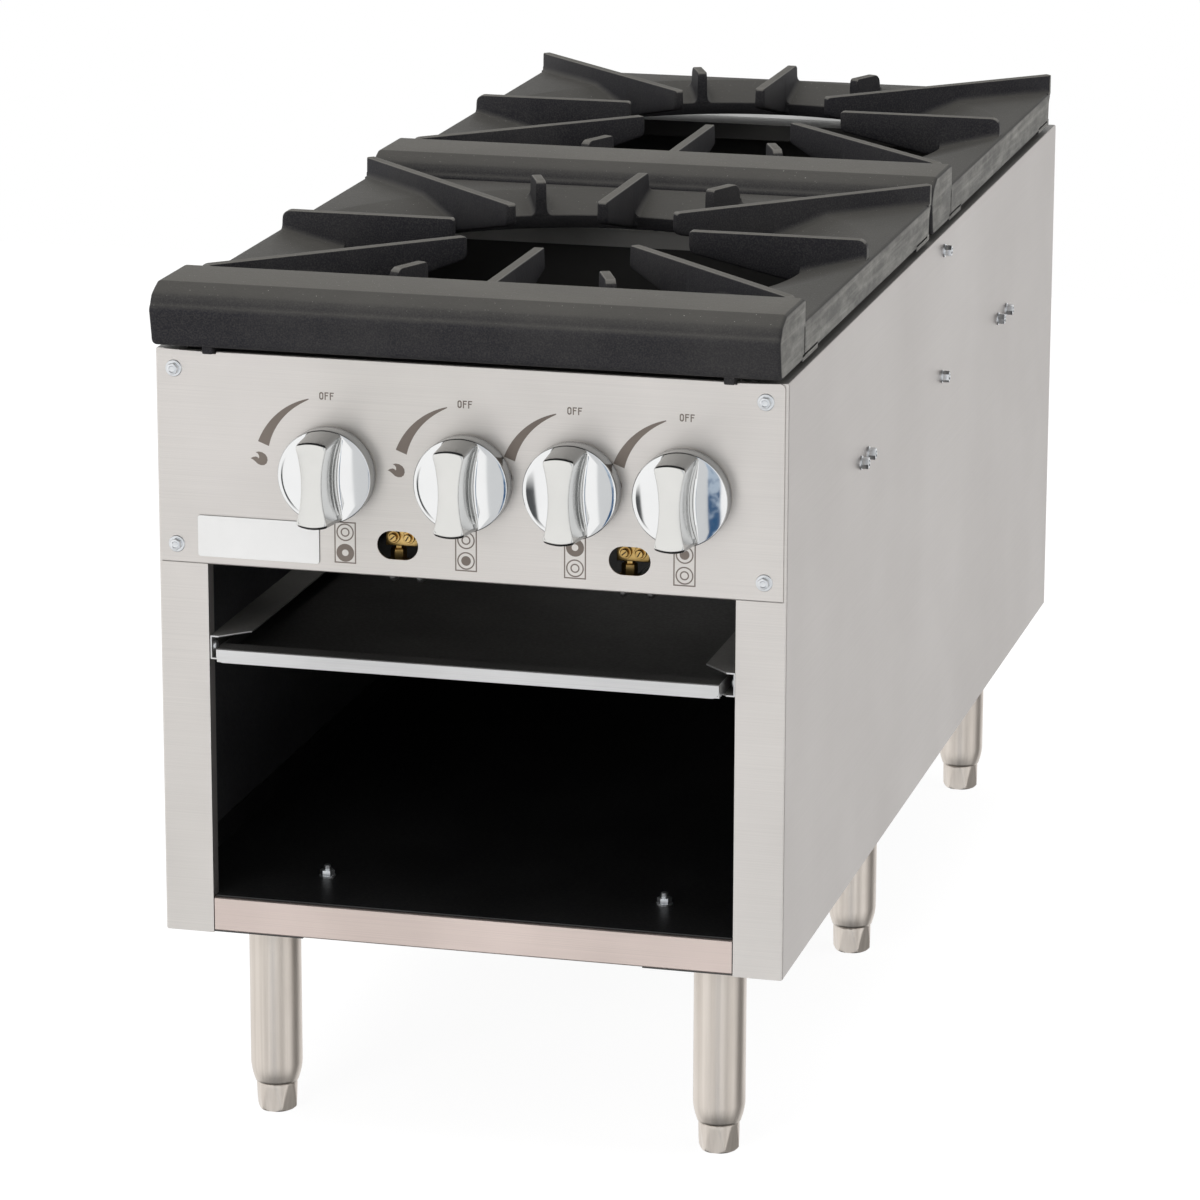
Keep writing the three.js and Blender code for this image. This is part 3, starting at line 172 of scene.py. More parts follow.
def softened(node, name, finish, body, edge, bends=(), bend=1.6, trim=None, second=None):
    """A copy of a solid with its long bends rounded and every other edge eased.

    trim tells the corners of small parts that are made again in more detail, and second gives the
    number of each face's finish from its centre and facing.
    """
    bm = bmesh.new()
    bm.from_mesh(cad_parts[node].data)
    bmesh.ops.remove_doubles(bm, verts=bm.verts[:], dist=0.02 * MM)
    if trim:
        spare = [v for v in bm.verts if trim(v.co / MM - Vector((0, FRONT, 0)))]
        bmesh.ops.delete(bm, geom=spare, context="VERTS")
        bmesh.ops.holes_fill(bm, edges=[e for e in bm.edges if e.is_boundary], sides=0)
    bmesh.ops.dissolve_limit(bm, angle_limit=radians(0.4), verts=bm.verts[:], edges=bm.edges[:])
    if bends:
        picked = []
        for e in bm.edges:
            a, b = [v.co / MM - Vector((0, FRONT, 0)) for v in e.verts]
            if len(e.link_faces) == 2 and e.calc_face_angle(0) > 1.2 and any(on(a) and on(b) for on in bends):
                picked.append(e)
        bmesh.ops.bevel(bm, geom=picked, offset=bend * MM, segments=4, profile=0.5, affect="EDGES")
    picked = [e for e in bm.edges if len(e.link_faces) == 2 and degrees(e.calc_face_angle(0)) > CREASE]
    bmesh.ops.bevel(bm, geom=picked, offset=edge * MM, segments=2, profile=0.5, affect="EDGES",
                    clamp_overlap=True)
    bmesh.ops.recalc_face_normals(bm, faces=bm.faces[:])
    if second:
        for face in bm.faces:
            middle = face.calc_center_median() / MM - Vector((0, FRONT, 0))
            face.material_index = int(second(middle, face.normal))
    piece = settle(bm, name, finish, body, [node], CREASE)
    level_shading(piece.data)
    return piece


def turned(profile, steps, axis="z", at=(0, 0, 0), first=0.0):
    """Rings of a profile of (radius, distance) turned about an axis through a point, from a first angle."""
    rings = []
    for r, h in profile:
        ring = []
        for k in range(steps):
            t = 2 * pi * k / steps + first
            a, b = max(r, 0.001) * cos(t), max(r, 0.001) * sin(t)
            p = {"x": (h, a, b), "y": (a, h, -b), "z": (a, b, h)}[axis]
            ring.append((at[0] + p[0], at[1] + p[1], at[2] + p[2]))
        rings.append(ring)
    return rings


def hexagon_reach(apothem, t):
    """How far a hexagon's outline lies from its centre in one direction."""
    return apothem / cos((t + pi / 6) % (pi / 3) - pi / 6)


def bezier(a, b, c, t):
    """A point of the curve that leaves a towards b and comes to c."""
    return tuple((1 - t) ** 2 * p + 2 * t * (1 - t) * q + t * t * r for p, q, r in zip(a, b, c))


def route(corners, bend):
    """Points and headings along straight runs with a smooth bend at each corner."""
    turns = 8
    points = [Vector(c) for c in corners]
    stops = [(points[0], (points[1] - points[0]).normalized())]
    for before, here, after in zip(points, points[1:], points[2:]):
        room = min(bend, 0.45 * (here - before).length, 0.45 * (after - here).length)
        a = here + (before - here).normalized() * room
        b = here + (after - here).normalized() * room
        for k in range(turns + 1):
            t = k / turns
            at = a * (1 - t) ** 2 + here * 2 * t * (1 - t) + b * t * t
            heading = (here - a) * (1 - t) + (b - here) * t
            stops.append((at, heading.normalized()))
    stops.append((points[-1], (points[-1] - points[-2]).normalized()))
    return stops


def tube(form, corners, bend, radius, sides):
    """A round tube along a route, its ends slightly chamfered."""
    stops = route(corners, bend)
    side = stops[0][1].orthogonal().normalized()
    rings = []
    last = len(stops) - 1
    for i, (at, heading) in enumerate(stops):
        side = (side - heading * side.dot(heading)).normalized()
        up = heading.cross(side)

        def ring(centre, r):
            turn = [2 * pi * k / sides for k in range(sides)]
            return [tuple(centre + side * (r * cos(t)) + up * (r * sin(t))) for t in turn]

        ease = min(0.4, radius * 0.15)
        if i == 0:
            rings += [ring(at, radius - ease), ring(at + heading * ease, radius)]
        elif i == last:
            rings += [ring(at - heading * ease, radius), ring(at, radius - ease)]
        else:
            rings.append(ring(at, radius))
    form.loft(rings)


# ------------------------------------------------------------------ finishes
def node_group(name, inputs, outputs, family="Shader"):
    """An empty node tree with named sockets, its input node and its output node."""
    tree = bpy.data.node_groups.new(name, f"{family}NodeTree")
    for in_out, sockets in (("INPUT", inputs), ("OUTPUT", outputs)):
        for title, kind in sockets.items():
            tree.interface.new_socket(name=title, in_out=in_out, socket_type=f"NodeSocket{kind}")
    return tree, tree.nodes.new("NodeGroupInput"), tree.nodes.new("NodeGroupOutput")


def wire(tree, source, target):
    tree.links.new(source, target)


def feed(tree, node, entries):
    """Gives a node's inputs, by name or number, their values, links, or another node's first output."""
    for title, value in entries.items():
        if isinstance(value, bpy.types.Node):
            value = value.outputs[0]
        if isinstance(value, bpy.types.NodeSocket):
            wire(tree, value, node.inputs[title])
        else:
            node.inputs[title].default_value = value


def add_node(tree, kind, entries=None, **settings):
    node = tree.nodes.new(kind)
    for key, value in settings.items():
        setattr(node, key, value)
    feed(tree, node, entries or {})
    return node


def calculate(tree, operation, a, b=None):
    """A Math node fed by sockets or numbers."""
    entries = {0: a} if b is None else {0: a, 1: b}
    return add_node(tree, "ShaderNodeMath", entries, operation=operation).outputs[0]


def times(tree, a, b):
    return calculate(tree, "MULTIPLY", a, b)


def between(tree, value, low, high, out_low=0.0, out_high=1.0):
    """A value's place between two limits, spread over two others."""
    limits = {"From Min": low, "From Max": high, "To Min": out_low, "To Max": out_high}
    return add_node(tree, "ShaderNodeMapRange", {"Value": value, **limits}).outputs[0]


def stretched(tree, vector, scale):
    return add_node(tree, "ShaderNodeMapping", {"Vector": vector, "Scale": scale}).outputs[0]


def noise(tree, vector, scale, detail, rough=0.5):
    entries = {"Vector": vector, "Scale": scale, "Detail": detail, "Roughness": rough}
    return add_node(tree, "ShaderNodeTexNoise", entries).outputs["Fac"]


def mixed(tree, factor, a, b, blend="MIX"):
    """A colour mix of sockets or colours."""
    node = add_node(tree, "ShaderNodeMix", data_type="RGBA", blend_type=blend)
    for title, value in (("Factor_Float", factor), ("A_Color", a), ("B_Color", b)):
        number = next(i for i, s in enumerate(node.inputs) if s.identifier == title)
        feed(tree, node, {number: (*value, 1.0) if isinstance(value, tuple) else value})
    return next(s for s in node.outputs if s.identifier == "Result_Color")


def make_grain_group():
    """Fine parallel scratches, as a sanding belt leaves on sheet, and slow upright bands of painted
    reflection.
    """
    tree, source, sink = node_group("sanded grain", {"Vector": "Vector", "Stretch": "Vector"},
                                    {"Height": "Float", "Painted Reflection Band": "Float", "Cloud": "Float"})
    vector = source.outputs["Vector"]
    feed(tree, sink, {
        "Height": noise(tree, stretched(tree, vector, source.outputs["Stretch"]), 1.0, 3.0, 0.65),
        # Slow upright bands of lighter and darker colour: painted reflection.
        "Painted Reflection Band": noise(tree, stretched(tree, vector, (5.0, 2.0, 0.8)), 1.6, 2.0, 0.5),
        "Cloud": noise(tree, vector, 16.0, 4.0, 0.6)})
    return tree


def make_casting_group():
    """The sandy skin of a casting, with rubbed patches and dust."""
    tree, source, sink = node_group("sand cast skin", {"Vector": "Vector"},
                                    {"Height": "Float", "Fleck": "Float", "Dust": "Float", "Rub": "Float"})
    vector = source.outputs["Vector"]
    fine = noise(tree, vector, 900.0, 2.0, 0.6)
    coarse = noise(tree, vector, 260.0, 3.0, 0.6)
    streaks = noise(tree, stretched(tree, vector, (18.0, 26.0, 60.0)), 1.0, 6.0, 0.7)
    feed(tree, sink, {
        "Height": calculate(tree, "ADD", times(tree, fine, 0.5), coarse),
        "Fleck": between(tree, fine, 0.42, 0.72),
        "Dust": between(tree, noise(tree, vector, 9.0, 5.0, 0.6), 0.45, 0.75),
        "Rub": between(tree, streaks, 0.42, 0.66)})
    return tree


GRAIN = make_grain_group()
CASTING = make_casting_group()


def new_material(name):
    """A material with its tree, its shader and the piece's own coordinates."""
    material = bpy.data.materials.new(name)
    material.use_nodes = True
    tree = material.node_tree
    shader = tree.nodes["Principled BSDF"]
    place = add_node(tree, "ShaderNodeTexCoord").outputs["Object"]
    return material, tree, shader, place


def bumped(tree, shader, height, distance, strength=1.0):
    bump = add_node(tree, "ShaderNodeBump", {"Distance": distance * MM, "Strength": strength,
                                             "Height": height})
    wire(tree, bump.outputs["Normal"], shader.inputs["Normal"])


def sanded_sheet(name, light, dark, rough, line, metallic=0.9, stretch=(6.0, 6.0, 2600.0)):
    """Stainless or plated sheet with a sanded grain and slow bands of painted reflection in its colour."""
    material, tree, shader, place = new_material(name)
    grain = add_node(tree, "ShaderNodeGroup", node_tree=GRAIN)
    feed(tree, grain, {"Vector": place, "Stretch": stretch})
    # The colour runs from dark to light along the painted reflection bands.
    colour = mixed(tree, between(tree, grain.outputs["Painted Reflection Band"], 0.32, 0.68), dark, light)
    scratch = between(tree, grain.outputs["Height"], 0.3, 0.7, 1.0 - line, 1.0 + line * 0.5)
    feed(tree, shader, {
        "Base Color": mixed(tree, 1.0, colour, scratch, "MULTIPLY"), "Metallic": metallic,
        "Roughness": between(tree, grain.outputs["Cloud"], 0.3, 0.7, *rough)})
    bumped(tree, shader, grain.outputs["Height"], 0.012, 0.5)
    return material


def cast_iron(name, side, top, dust, scuff_and_light, soot=None):
    """Cast iron: blue-black sides, tops lighter with dust and painted light, outer ends lighter with rubbing
    and painted light, and soot inside the rings.
    """
    material, tree, shader, place = new_material(name)
    skin = add_node(tree, "ShaderNodeGroup", node_tree=CASTING)
    feed(tree, skin, {"Vector": place})
    normal = add_node(tree, "ShaderNodeNewGeometry").outputs["Normal"]
    facing = add_node(tree, "ShaderNodeSeparateXYZ", {"Vector": normal})
    spot = add_node(tree, "ShaderNodeSeparateXYZ", {"Vector": place})
    # Faces that turn upwards are lighter: dust and painted light from above.
    colour = mixed(tree, between(tree, facing.outputs["Z"], 0.25, 0.9), side, top)
    for part, share in (("Fleck", 0.35), ("Dust", 0.2)):
        colour = mixed(tree, times(tree, skin.outputs[part], share), colour, dust)
    speck = between(tree, noise(tree, place, 950.0, 0.0, 0.5), 0.83, 0.87)
    on_top = times(tree, speck, between(tree, facing.outputs["Z"], 0.5, 0.9))
    colour = mixed(tree, on_top, colour, (0.34, 0.33, 0.31))
    # The grate's outer end faces are lighter: rubbing and painted light.
    outer = between(tree, calculate(tree, "ABSOLUTE", spot.outputs["X"]), 0.2235, 0.2245)
    sideways = between(tree, calculate(tree, "ABSOLUTE", facing.outputs["X"]), 0.86, 0.98)
    sideways = times(tree, outer, sideways)
    scrape = noise(tree, stretched(tree, place, (30.0, 9.0, 260.0)), 1.0, 3.0, 0.6)
    rub_and_light = calculate(tree, "ADD", between(tree, skin.outputs["Rub"], 0.0, 1.0, 0.36, 0.70),
                    between(tree, scrape, 0.46, 0.66, 0.0, 0.22))
    colour = mixed(tree, times(tree, sideways, rub_and_light), colour, scuff_and_light)
    if soot:
        middle, reach = soot
        off = calculate(tree, "ABSOLUTE", calculate(tree, "SUBTRACT", spot.outputs["Y"], middle))
        off = calculate(tree, "SUBTRACT", off, reach)
        across = times(tree, spot.outputs["X"], spot.outputs["X"])
        square = calculate(tree, "ADD", times(tree, off, off), across)
        radius = calculate(tree, "SQRT", square)
        ring = between(tree, radius, 0.1735, 0.1762, 1.0, 0.0)
        near = times(tree, ring, between(tree, radius, 0.168, 0.1735))
        low = between(tree, spot.outputs["Z"], (TOP + 19.0) * MM, (TOP + 24.0) * MM, 1.0, 0.0)
        burnt = times(tree, times(tree, near, low), 0.55)
        colour = mixed(tree, burnt, colour, (0.004, 0.004, 0.005))
    feed(tree, shader, {
        "Base Color": colour, "Metallic": 0.0, "Specular IOR Level": 0.22,
        "Roughness": between(tree, skin.outputs["Fleck"], 0.0, 1.0, 0.60, 0.80)})
    bumped(tree, shader, skin.outputs["Height"], 0.32, 0.7)
    return material


def smooth_metal(name, colour, rough, cloud, metallic=1.0, wave=0.0, tint=None):
    """Plated, machined or drawn metal with faint unevenness."""
    material, tree, shader, place = new_material(name)
    patch = noise(tree, place, 38.0, 4.0, 0.6)
    if tint:
        tone = mixed(tree, between(tree, patch, 0.35, 0.7), colour, tint)
    else:
        tone = mixed(tree, patch, colour, tuple(c * 0.93 for c in colour))
    feed(tree, shader, {"Base Color": tone, "Metallic": metallic,
                        "Roughness": between(tree, patch, 0.3, 0.7, rough, rough + cloud)})
    if wave:
        bumped(tree, shader, noise(tree, place, 260.0, 2.0), wave)
    return material


def drawn_steel(name, light, dark, rough):
    """Satin tube with faint streaks along its length."""
    material, tree, shader, place = new_material(name)
    streak = noise(tree, stretched(tree, place, (210.0, 210.0, 3.0)), 1.0, 3.0, 0.6)
    cloud = noise(tree, place, 30.0, 3.0)
    feed(tree, shader, {"Base Color": mixed(tree, between(tree, streak, 0.35, 0.65), dark, light),
                        "Metallic": 1.0, "Roughness": between(tree, cloud, 0.3, 0.7, rough, rough + 0.07)})
    bumped(tree, shader, streak, 0.01, 0.5)
    return material


def painted(name, colour, tone, rough, metallic=0.0):
    """Paint, print or dull plating of two near tones."""
    material, tree, shader, place = new_material(name)
    speck = noise(tree, place, 420.0, 3.0, 0.6)
    patch = between(tree, noise(tree, place, 14.0, 4.0), 0.35, 0.7)
    feed(tree, shader, {"Base Color": mixed(tree, patch, colour, tone), "Metallic": metallic,
                        "Roughness": between(tree, speck, 0.3, 0.7, rough - 0.06, rough + 0.08)})
    bumped(tree, shader, speck, 0.02, 0.5)
    return material


# The front and side sheets are one stainless: the front copy is lighter and the side copy darker, as painted
# light.
LIT_FRONT_SHEET = sanded_sheet("stainless, lit front copy", (0.785, 0.75, 0.72), (0.73, 0.70, 0.665),
                           rough=(0.32, 0.42), line=0.06)
SHADED_SIDE_SHEET = sanded_sheet("stainless, shaded side copy", (0.625, 0.595, 0.575), (0.565, 0.535, 0.515),
                          rough=(0.43, 0.46), line=0.04)
RAIL_SHEET = sanded_sheet("rail stainless", (0.80, 0.68, 0.63), (0.74, 0.63, 0.58), rough=(0.32, 0.44),
                          line=0.08)
TRAY_SHEET = sanded_sheet("tray stainless", (0.76, 0.76, 0.76), (0.66, 0.66, 0.66), rough=(0.28, 0.4),
                          line=0.08)
INNER_SHEET = sanded_sheet("plated sheet", (0.62, 0.62, 0.61), (0.50, 0.50, 0.495), rough=(0.36, 0.5),
                           metallic=0.8, stretch=(40.0, 40.0, 40.0), line=0.08)
# Dark sheets inside the cabinet stand for its shade: painted shade. The black sheet is also the leg brackets'
# black paint, and the grey sheet is also the tray runners' grime.
BLACK_PAINT_AND_SHADE_SHEET = painted("black sheet, black paint and painted shade", (0.034, 0.034, 0.036), (0.05, 0.05, 0.052), 0.4)
GRIME_AND_SHADE_SHEET = painted("grey sheet, grime and painted shade", (0.17, 0.166, 0.158), (0.22, 0.215, 0.204), 0.5, 0.2)
# A dark sheet for the cabinet's inner faces: painted shade.
PAINTED_SHADE_SHEET = painted("dark sheet, painted shade", (0.038, 0.037, 0.0355), (0.054, 0.0525, 0.05), 0.5, 0.2)
DULL_SHEET = painted("dull plated sheet", (0.42, 0.415, 0.40), (0.52, 0.515, 0.50), 0.5, 0.3)
SHELF_SHEET = painted("shelf sheet", (0.009, 0.009, 0.0095), (0.014, 0.014, 0.0145), 0.4)
RING_AXES = ((BURNER_Y + GRATE_PITCH / 2 + FRONT) * MM, GRATE_PITCH / 2 * MM)
IRON = cast_iron("grate iron", (0.0150, 0.0147, 0.0188), (0.057, 0.0555, 0.052), (0.10, 0.097, 0.09),
                 (0.34, 0.335, 0.31), soot=RING_AXES)
# Lighter copies of the iron for the fingers' flat tops and upper edges: wear with painted light and painted
# highlight.
WORN_LIT_IRON_TOP = cast_iron("worn iron top, with painted light", (0.070, 0.067, 0.061), (0.078, 0.075, 0.068), (0.16, 0.155, 0.14),
                     (0.34, 0.335, 0.31))
WORN_HIGHLIT_IRON_EDGE = cast_iron("worn iron edge, with painted highlight", (0.075, 0.073, 0.070), (0.125, 0.121, 0.113), (0.2, 0.195, 0.18),
                      (0.34, 0.335, 0.31))
BURNER_IRON = cast_iron("burner iron", (0.014, 0.014, 0.0145), (0.024, 0.023, 0.022), (0.05, 0.048, 0.045),
                        (0.03, 0.03, 0.03))
CHROME = smooth_metal("knob chrome", (0.90, 0.905, 0.905), 0.045, 0.02)
# Darker copies of the chrome for the skirt, grip sides and grip face: painted reflection of shade.
SHADED_SKIRT_CHROME = smooth_metal("knob rim chrome, painted shade", (0.37, 0.375, 0.37), 0.16, 0.05)
SHADED_GRIP_CHROME = smooth_metal("knob grip chrome, painted shade", (0.66, 0.665, 0.66), 0.13, 0.05)
SHADED_FACE_CHROME = smooth_metal("knob face chrome, painted shade", (0.79, 0.785, 0.76), 0.13, 0.05)
PLATE = smooth_metal("nameplate satin", (0.90, 0.90, 0.895), 0.34, 0.05, metallic=0.5)
# The nameplate's edges are painted dark: painted shade.
PLATE_EDGE_SHADE = painted("nameplate edge, painted shade", (0.06, 0.058, 0.055), (0.09, 0.087, 0.082), 0.5)
PRINT = painted("panel print", (0.165, 0.137, 0.118), (0.21, 0.178, 0.154), 0.55)
ZINC = smooth_metal("zinc fastener", (0.88, 0.90, 0.92), 0.32, 0.1, wave=0.02)
BRASS = smooth_metal("valve brass", (0.86, 0.61, 0.25), 0.24, 0.1, wave=0.02, tint=(0.46, 0.29, 0.09))
BLACK_PIPE = painted("black pipe", (0.020, 0.019, 0.018), (0.035, 0.033, 0.030), 0.5, 0.4)
TUBE_METAL = smooth_metal("gas tube", (0.62, 0.62, 0.61), 0.32, 0.1)
LEG_METAL = drawn_steel("leg satin steel", (0.80, 0.735, 0.67), (0.68, 0.62, 0.56), 0.36)
PORT_DARK = painted("port shadow", (0.006, 0.006, 0.006), (0.01, 0.01, 0.01), 0.8)


# ------------------------------------------------------------------ cabinet sheet
def on_line(**at):
    """A test for points that lie on a line or plane given by coordinates."""
    index = {"x": 0, "y": 1, "z": 2}
    return lambda p: all(abs(p[index[k]] - v) < 0.05 for k, v in at.items())


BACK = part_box("right_side_panel")[1].y / MM - FRONT


def side_faces(p, n):
    """The lighter front copy of the stainless on the rolled edge's front faces and the darker side copy
    outside and on the rear return, as painted light, and a dark sheet inside as painted shade, painted
    lighter above the tray."""
    if n.y < -0.6 and p.y < 3.4:
        return 1
    if abs(p.x) > HALF - 0.9 or p.y < 3.4 or n.y > 0.6 and p.y > BACK - 0.9:
        return 0
    if abs(p.x) < 194.5 and p.y < 14.5:
        return 0
    # Inner faces: dark sheet as painted shade, a lighter grey above the tray as painted light.
    return 3 if p.z > 372.0 else 2


for side, sign in (("left", -1), ("right", 1)):
    x = sign * HALF
    softened(f"{side}_side_panel", f"{side}_side_sheet", [SHADED_SIDE_SHEET, LIT_FRONT_SHEET, BLACK_PAINT_AND_SHADE_SHEET, GRIME_AND_SHADE_SHEET],
             "cabinet", edge=0.22, bend=1.5, trim=lambda p: abs(p.x) > HALF + 0.05,
             second=side_faces,
             bends=[on_line(x=x, y=1.5), on_line(x=x, z=TOP), on_line(x=x, y=BACK), on_line(x=x, z=155.0)])

# The panel's inner faces take the dark sheet: painted shade.
softened("control_panel", "panel_sheet", [LIT_FRONT_SHEET, PAINTED_SHADE_SHEET], "cabinet", edge=0.22,
         bend=1.5, bends=[on_line(y=0.0, z=TOP), on_line(y=0.0, z=TOP - 155.2)],
         second=lambda p, n: p.y > 1.0 and (n.y > 0.5 or abs(n.z) > 0.5))
softened("bottom_front_rail", "bottom_rail_sheet", RAIL_SHEET, "cabinet", edge=0.25, bend=1.3,
         bends=[on_line(y=1.5, z=181.5), on_line(y=1.5, z=156.5)])
# The nameplate's edge faces take the dark finish: painted shade.
softened("nameplate", "blank_nameplate", [PLATE, PLATE_EDGE_SHADE], "cabinet", edge=0.25,
         second=lambda p, n: n.y > -0.4)
softened("bottom_shelf", "shelf_sheet", SHELF_SHEET, "cabinet", edge=0.22)
# The back's inner face takes the dark sheet: painted shade.
softened("back_panel", "back_sheet", [INNER_SHEET, PAINTED_SHADE_SHEET], "cabinet", edge=0.22,
         second=lambda p, n: n.y < -0.5)
softened("middle_top_rail", "middle_top_rail_channel", DULL_SHEET, "cabinet", edge=0.22)
# The rear rail's front-facing faces take the dark sheet: painted shade.
softened("rear_top_rail", "rear_top_rail_channel", [DULL_SHEET, PAINTED_SHADE_SHEET], "cabinet",
         edge=0.22, second=lambda p, n: n.y < -0.5)
# The divider is all dark sheet: painted shade.
softened("burner_box_divider", "divider_sheet", PAINTED_SHADE_SHEET, "cabinet", edge=0.22)
for side in ("left", "right"):
    softened(f"{side}_tray_rail", f"{side}_tray_runner", [GRIME_AND_SHADE_SHEET, TRAY_SHEET], "cabinet",
             edge=0.22, second=lambda p, n: n.y < -0.4)
    for row in LEG_Y:
        softened(f"{side}_{row}_leg_bracket", f"{side}_{row}_bracket", BLACK_PAINT_AND_SHADE_SHEET, "cabinet",
                 edge=0.22)
# The tray's inside takes the dark sheet: painted shade.
softened("spill_tray", "tray_pan", [TRAY_SHEET, PAINTED_SHADE_SHEET], "spill_tray_body", edge=0.25,
         bend=1.2, bends=[on_line(y=-10.0, z=371.4)],
         second=lambda p, n: p.y > 7.0 and n.z > -0.5 and abs(p.x) < 182.6)


# ------------------------------------------------------------------ control markings
def printed(name, outlines):
    """Thin printed shapes on the panel: each is an outline in x and z, or an outer and an inner one."""
    form = Form()
    front, rear = -0.06, 0.03
    for outline in outlines:
        if isinstance(outline, tuple):
            outer, inner = outline
            rings = []
            for points, y in ((outer, rear), (outer, front), (inner, front), (inner, rear)):
                rings.append([(px, y, pz) for px, pz in points])
            form.loft(rings, around=True)
        else:
            form.loft([[(px, y, pz) for px, pz in outline] for y in (rear, front)])
    return build(form, name, PRINT, "cabinet", angle=20)


def circle(cx, cz, r):
    turn = [2 * pi * k / 40 for k in range(40)]
    return [(cx + r * cos(t), cz + r * sin(t)) for t in turn]


def ring_mark(cx, cz, r, width):
    return (circle(cx, cz, r), circle(cx, cz, r - width))


def frame_mark(x0, x1, z0, z1, width):
    outer = [(x0, z0), (x1, z0), (x1, z1), (x0, z1)]
    inner = [(x0 + width, z0 + width), (x1 - width, z0 + width), (x1 - width, z1 - width),
             (x0 + width, z1 - width)]
    return (outer, inner)


def heat_sweep(cx):
    """The arc that narrows from full flame towards off."""
    outer, inner = [], []
    start, end, radius, steps = 159.0, 103.5, 53.5, 32
    for k in range(steps + 1):
        share = k / steps
        t = radians(start + (end - start) * share)
        width = 7.8 * (1 - share) ** 0.85 + 0.7
        outer.append((cx + radius * cos(t), KNOB_Z + radius * sin(t)))
        inner.append((cx + (radius - width) * cos(t), KNOB_Z + (radius - width) * sin(t)))
    return outer + inner[::-1]


def small_flame(cx, cz):
    """A flame lying on its side, its tip to the left."""
    points = [(-7.6, -0.6), (-5.6, 0.5), (-3.9, 0.9), (-2.5, 0.5), (-1.7, -0.5), (-1.3, 0.6), (-1.5, 1.9),
              (-2.4, 3.2), (-3.9, 4.1), (-1.6, 4.6), (1.0, 4.2), (3.2, 2.9), (4.6, 0.9), (4.9, -1.4),
              (4.1, -3.6), (2.3, -5.0), (0.0, -5.2), (-2.3, -4.4), (-4.0, -2.9), (-5.6, -1.6)]
    return [(cx + px, cz + pz) for px, pz in points]


def stroke(x0, z0, x1, z1):
    return [(x0, z0), (x1, z0), (x1, z1), (x0, z1)]


def off_mark(cx, cz):
    """The word OFF in thin capitals."""
    w, h, t = 3.0, 5.4, 0.82
    marks = []
    x = cx - 5.3
    z0, z1 = cz - h / 2, cz + h / 2
    c = 0.9
    outer = [(x + c, z0), (x + w - c, z0), (x + w, z0 + c), (x + w, z1 - c), (x + w - c, z1), (x + c, z1),
             (x, z1 - c), (x, z0 + c)]
    i = c - 0.26
    a, b, lo, hi = x + t, x + w - t, z0 + t, z1 - t
    inner = [(a + i, lo), (b - i, lo), (b, lo + i), (b, hi - i), (b - i, hi), (a + i, hi), (a, hi - i),
             (a, lo + i)]
    marks.append((outer, inner))
    for x in (cx - 1.4, cx + 2.4):
        marks.append(stroke(x, z0, x + t, z1))
        marks.append(stroke(x + t, z1 - t, x + w - 0.1, z1))
        marks.append(stroke(x + t, cz - 0.05, x + w - 0.5, cz + t - 0.05))
    return marks


def control_markings():
    off_shift = (-2.4, -0.8, -0.3, 1.2)
    flame_at = ((-151.2, 510.5), (-50.6, 508.1), (27.6, 508.0), (106.2, 508.0))
    icon_x = (-89.8, -1.4, 77.5, 156.0)
    for i, x in enumerate(KNOB_X):
        marks = [heat_sweep(x + (-3.2, -1.2, -1.2, -1.2)[i]), small_flame(*flame_at[i])]
        marks += off_mark(x + off_shift[i], 558.0)
        cx = icon_x[i]
        marks.append(frame_mark(cx - 7.95, cx + 7.95, 438.1, 468.2, 0.9))
        for centre, live in ((445.7, i < 2), (460.6, i >= 2)):
            if live and i in (0, 2):
                marks.append(ring_mark(cx, centre, 6.5, 4.1))
                continue
            marks.append(ring_mark(cx, centre, 6.4, 0.95))
            marks.append(circle(cx, centre, 3.5) if live else ring_mark(cx, centre, 3.3, 0.95))
        printed(f"control_markings_{i + 1}", marks)


control_markings()


# ------------------------------------------------------------------ fasteners
SPIN_SEED = 7
PORT_SIDES = 10
PORT_DEPTH = 0.6


def hand_out(tree, copies, finish, sink):
    """Makes copies real, gives them their finish and hands them out."""
    real = add_node(tree, "GeometryNodeRealizeInstances", {"Geometry": copies})
    coat = add_node(tree, "GeometryNodeSetMaterial", {"Geometry": real, "Material": finish})
    feed(tree, sink, {0: coat})


def fastener_tree():
    """Copies of one head on every corner of a mesh, turned and sized alike, each with its own spin."""
    tree, source, sink = node_group(
        "fastener set",
        {"Places": "Geometry", "Head": "Object", "Size": "Float", "Turn": "Vector", "Spin Spread": "Float",
         "Finish": "Material"},
        {"Fasteners": "Geometry"}, "Geometry")
    given = source.outputs
    points = add_node(tree, "GeometryNodeMeshToPoints", {"Mesh": given["Places"]})
    head = add_node(tree, "GeometryNodeObjectInfo", {"Object": given["Head"]})
    spin = add_node(tree, "FunctionNodeRandomValue", data_type="FLOAT")
    spin.inputs["Min"].default_value = 0.0
    next(s for s in spin.inputs if s.name == "Seed").default_value = SPIN_SEED
    wire(tree, given["Spin Spread"], next(s for s in spin.inputs if s.name == "Max" and s.type == "VALUE"))
    angle = next(s for s in spin.outputs if s.type == "VALUE" and s.enabled)
    lift = add_node(tree, "ShaderNodeCombineXYZ", {"Z": angle})
    turn = add_node(tree, "FunctionNodeEulerToRotation", {"Euler": given["Turn"]})
    own = add_node(tree, "FunctionNodeEulerToRotation", {"Euler": lift})
    both = add_node(tree, "FunctionNodeRotateRotation", {"Rotation": turn, "Rotate By": own},
                    rotation_space="LOCAL")
    copies = add_node(tree, "GeometryNodeInstanceOnPoints", {
        "Points": points, "Instance": head.outputs["Geometry"], "Rotation": both, "Scale": given["Size"]})
    hand_out(tree, copies, given["Finish"], sink)
    return tree


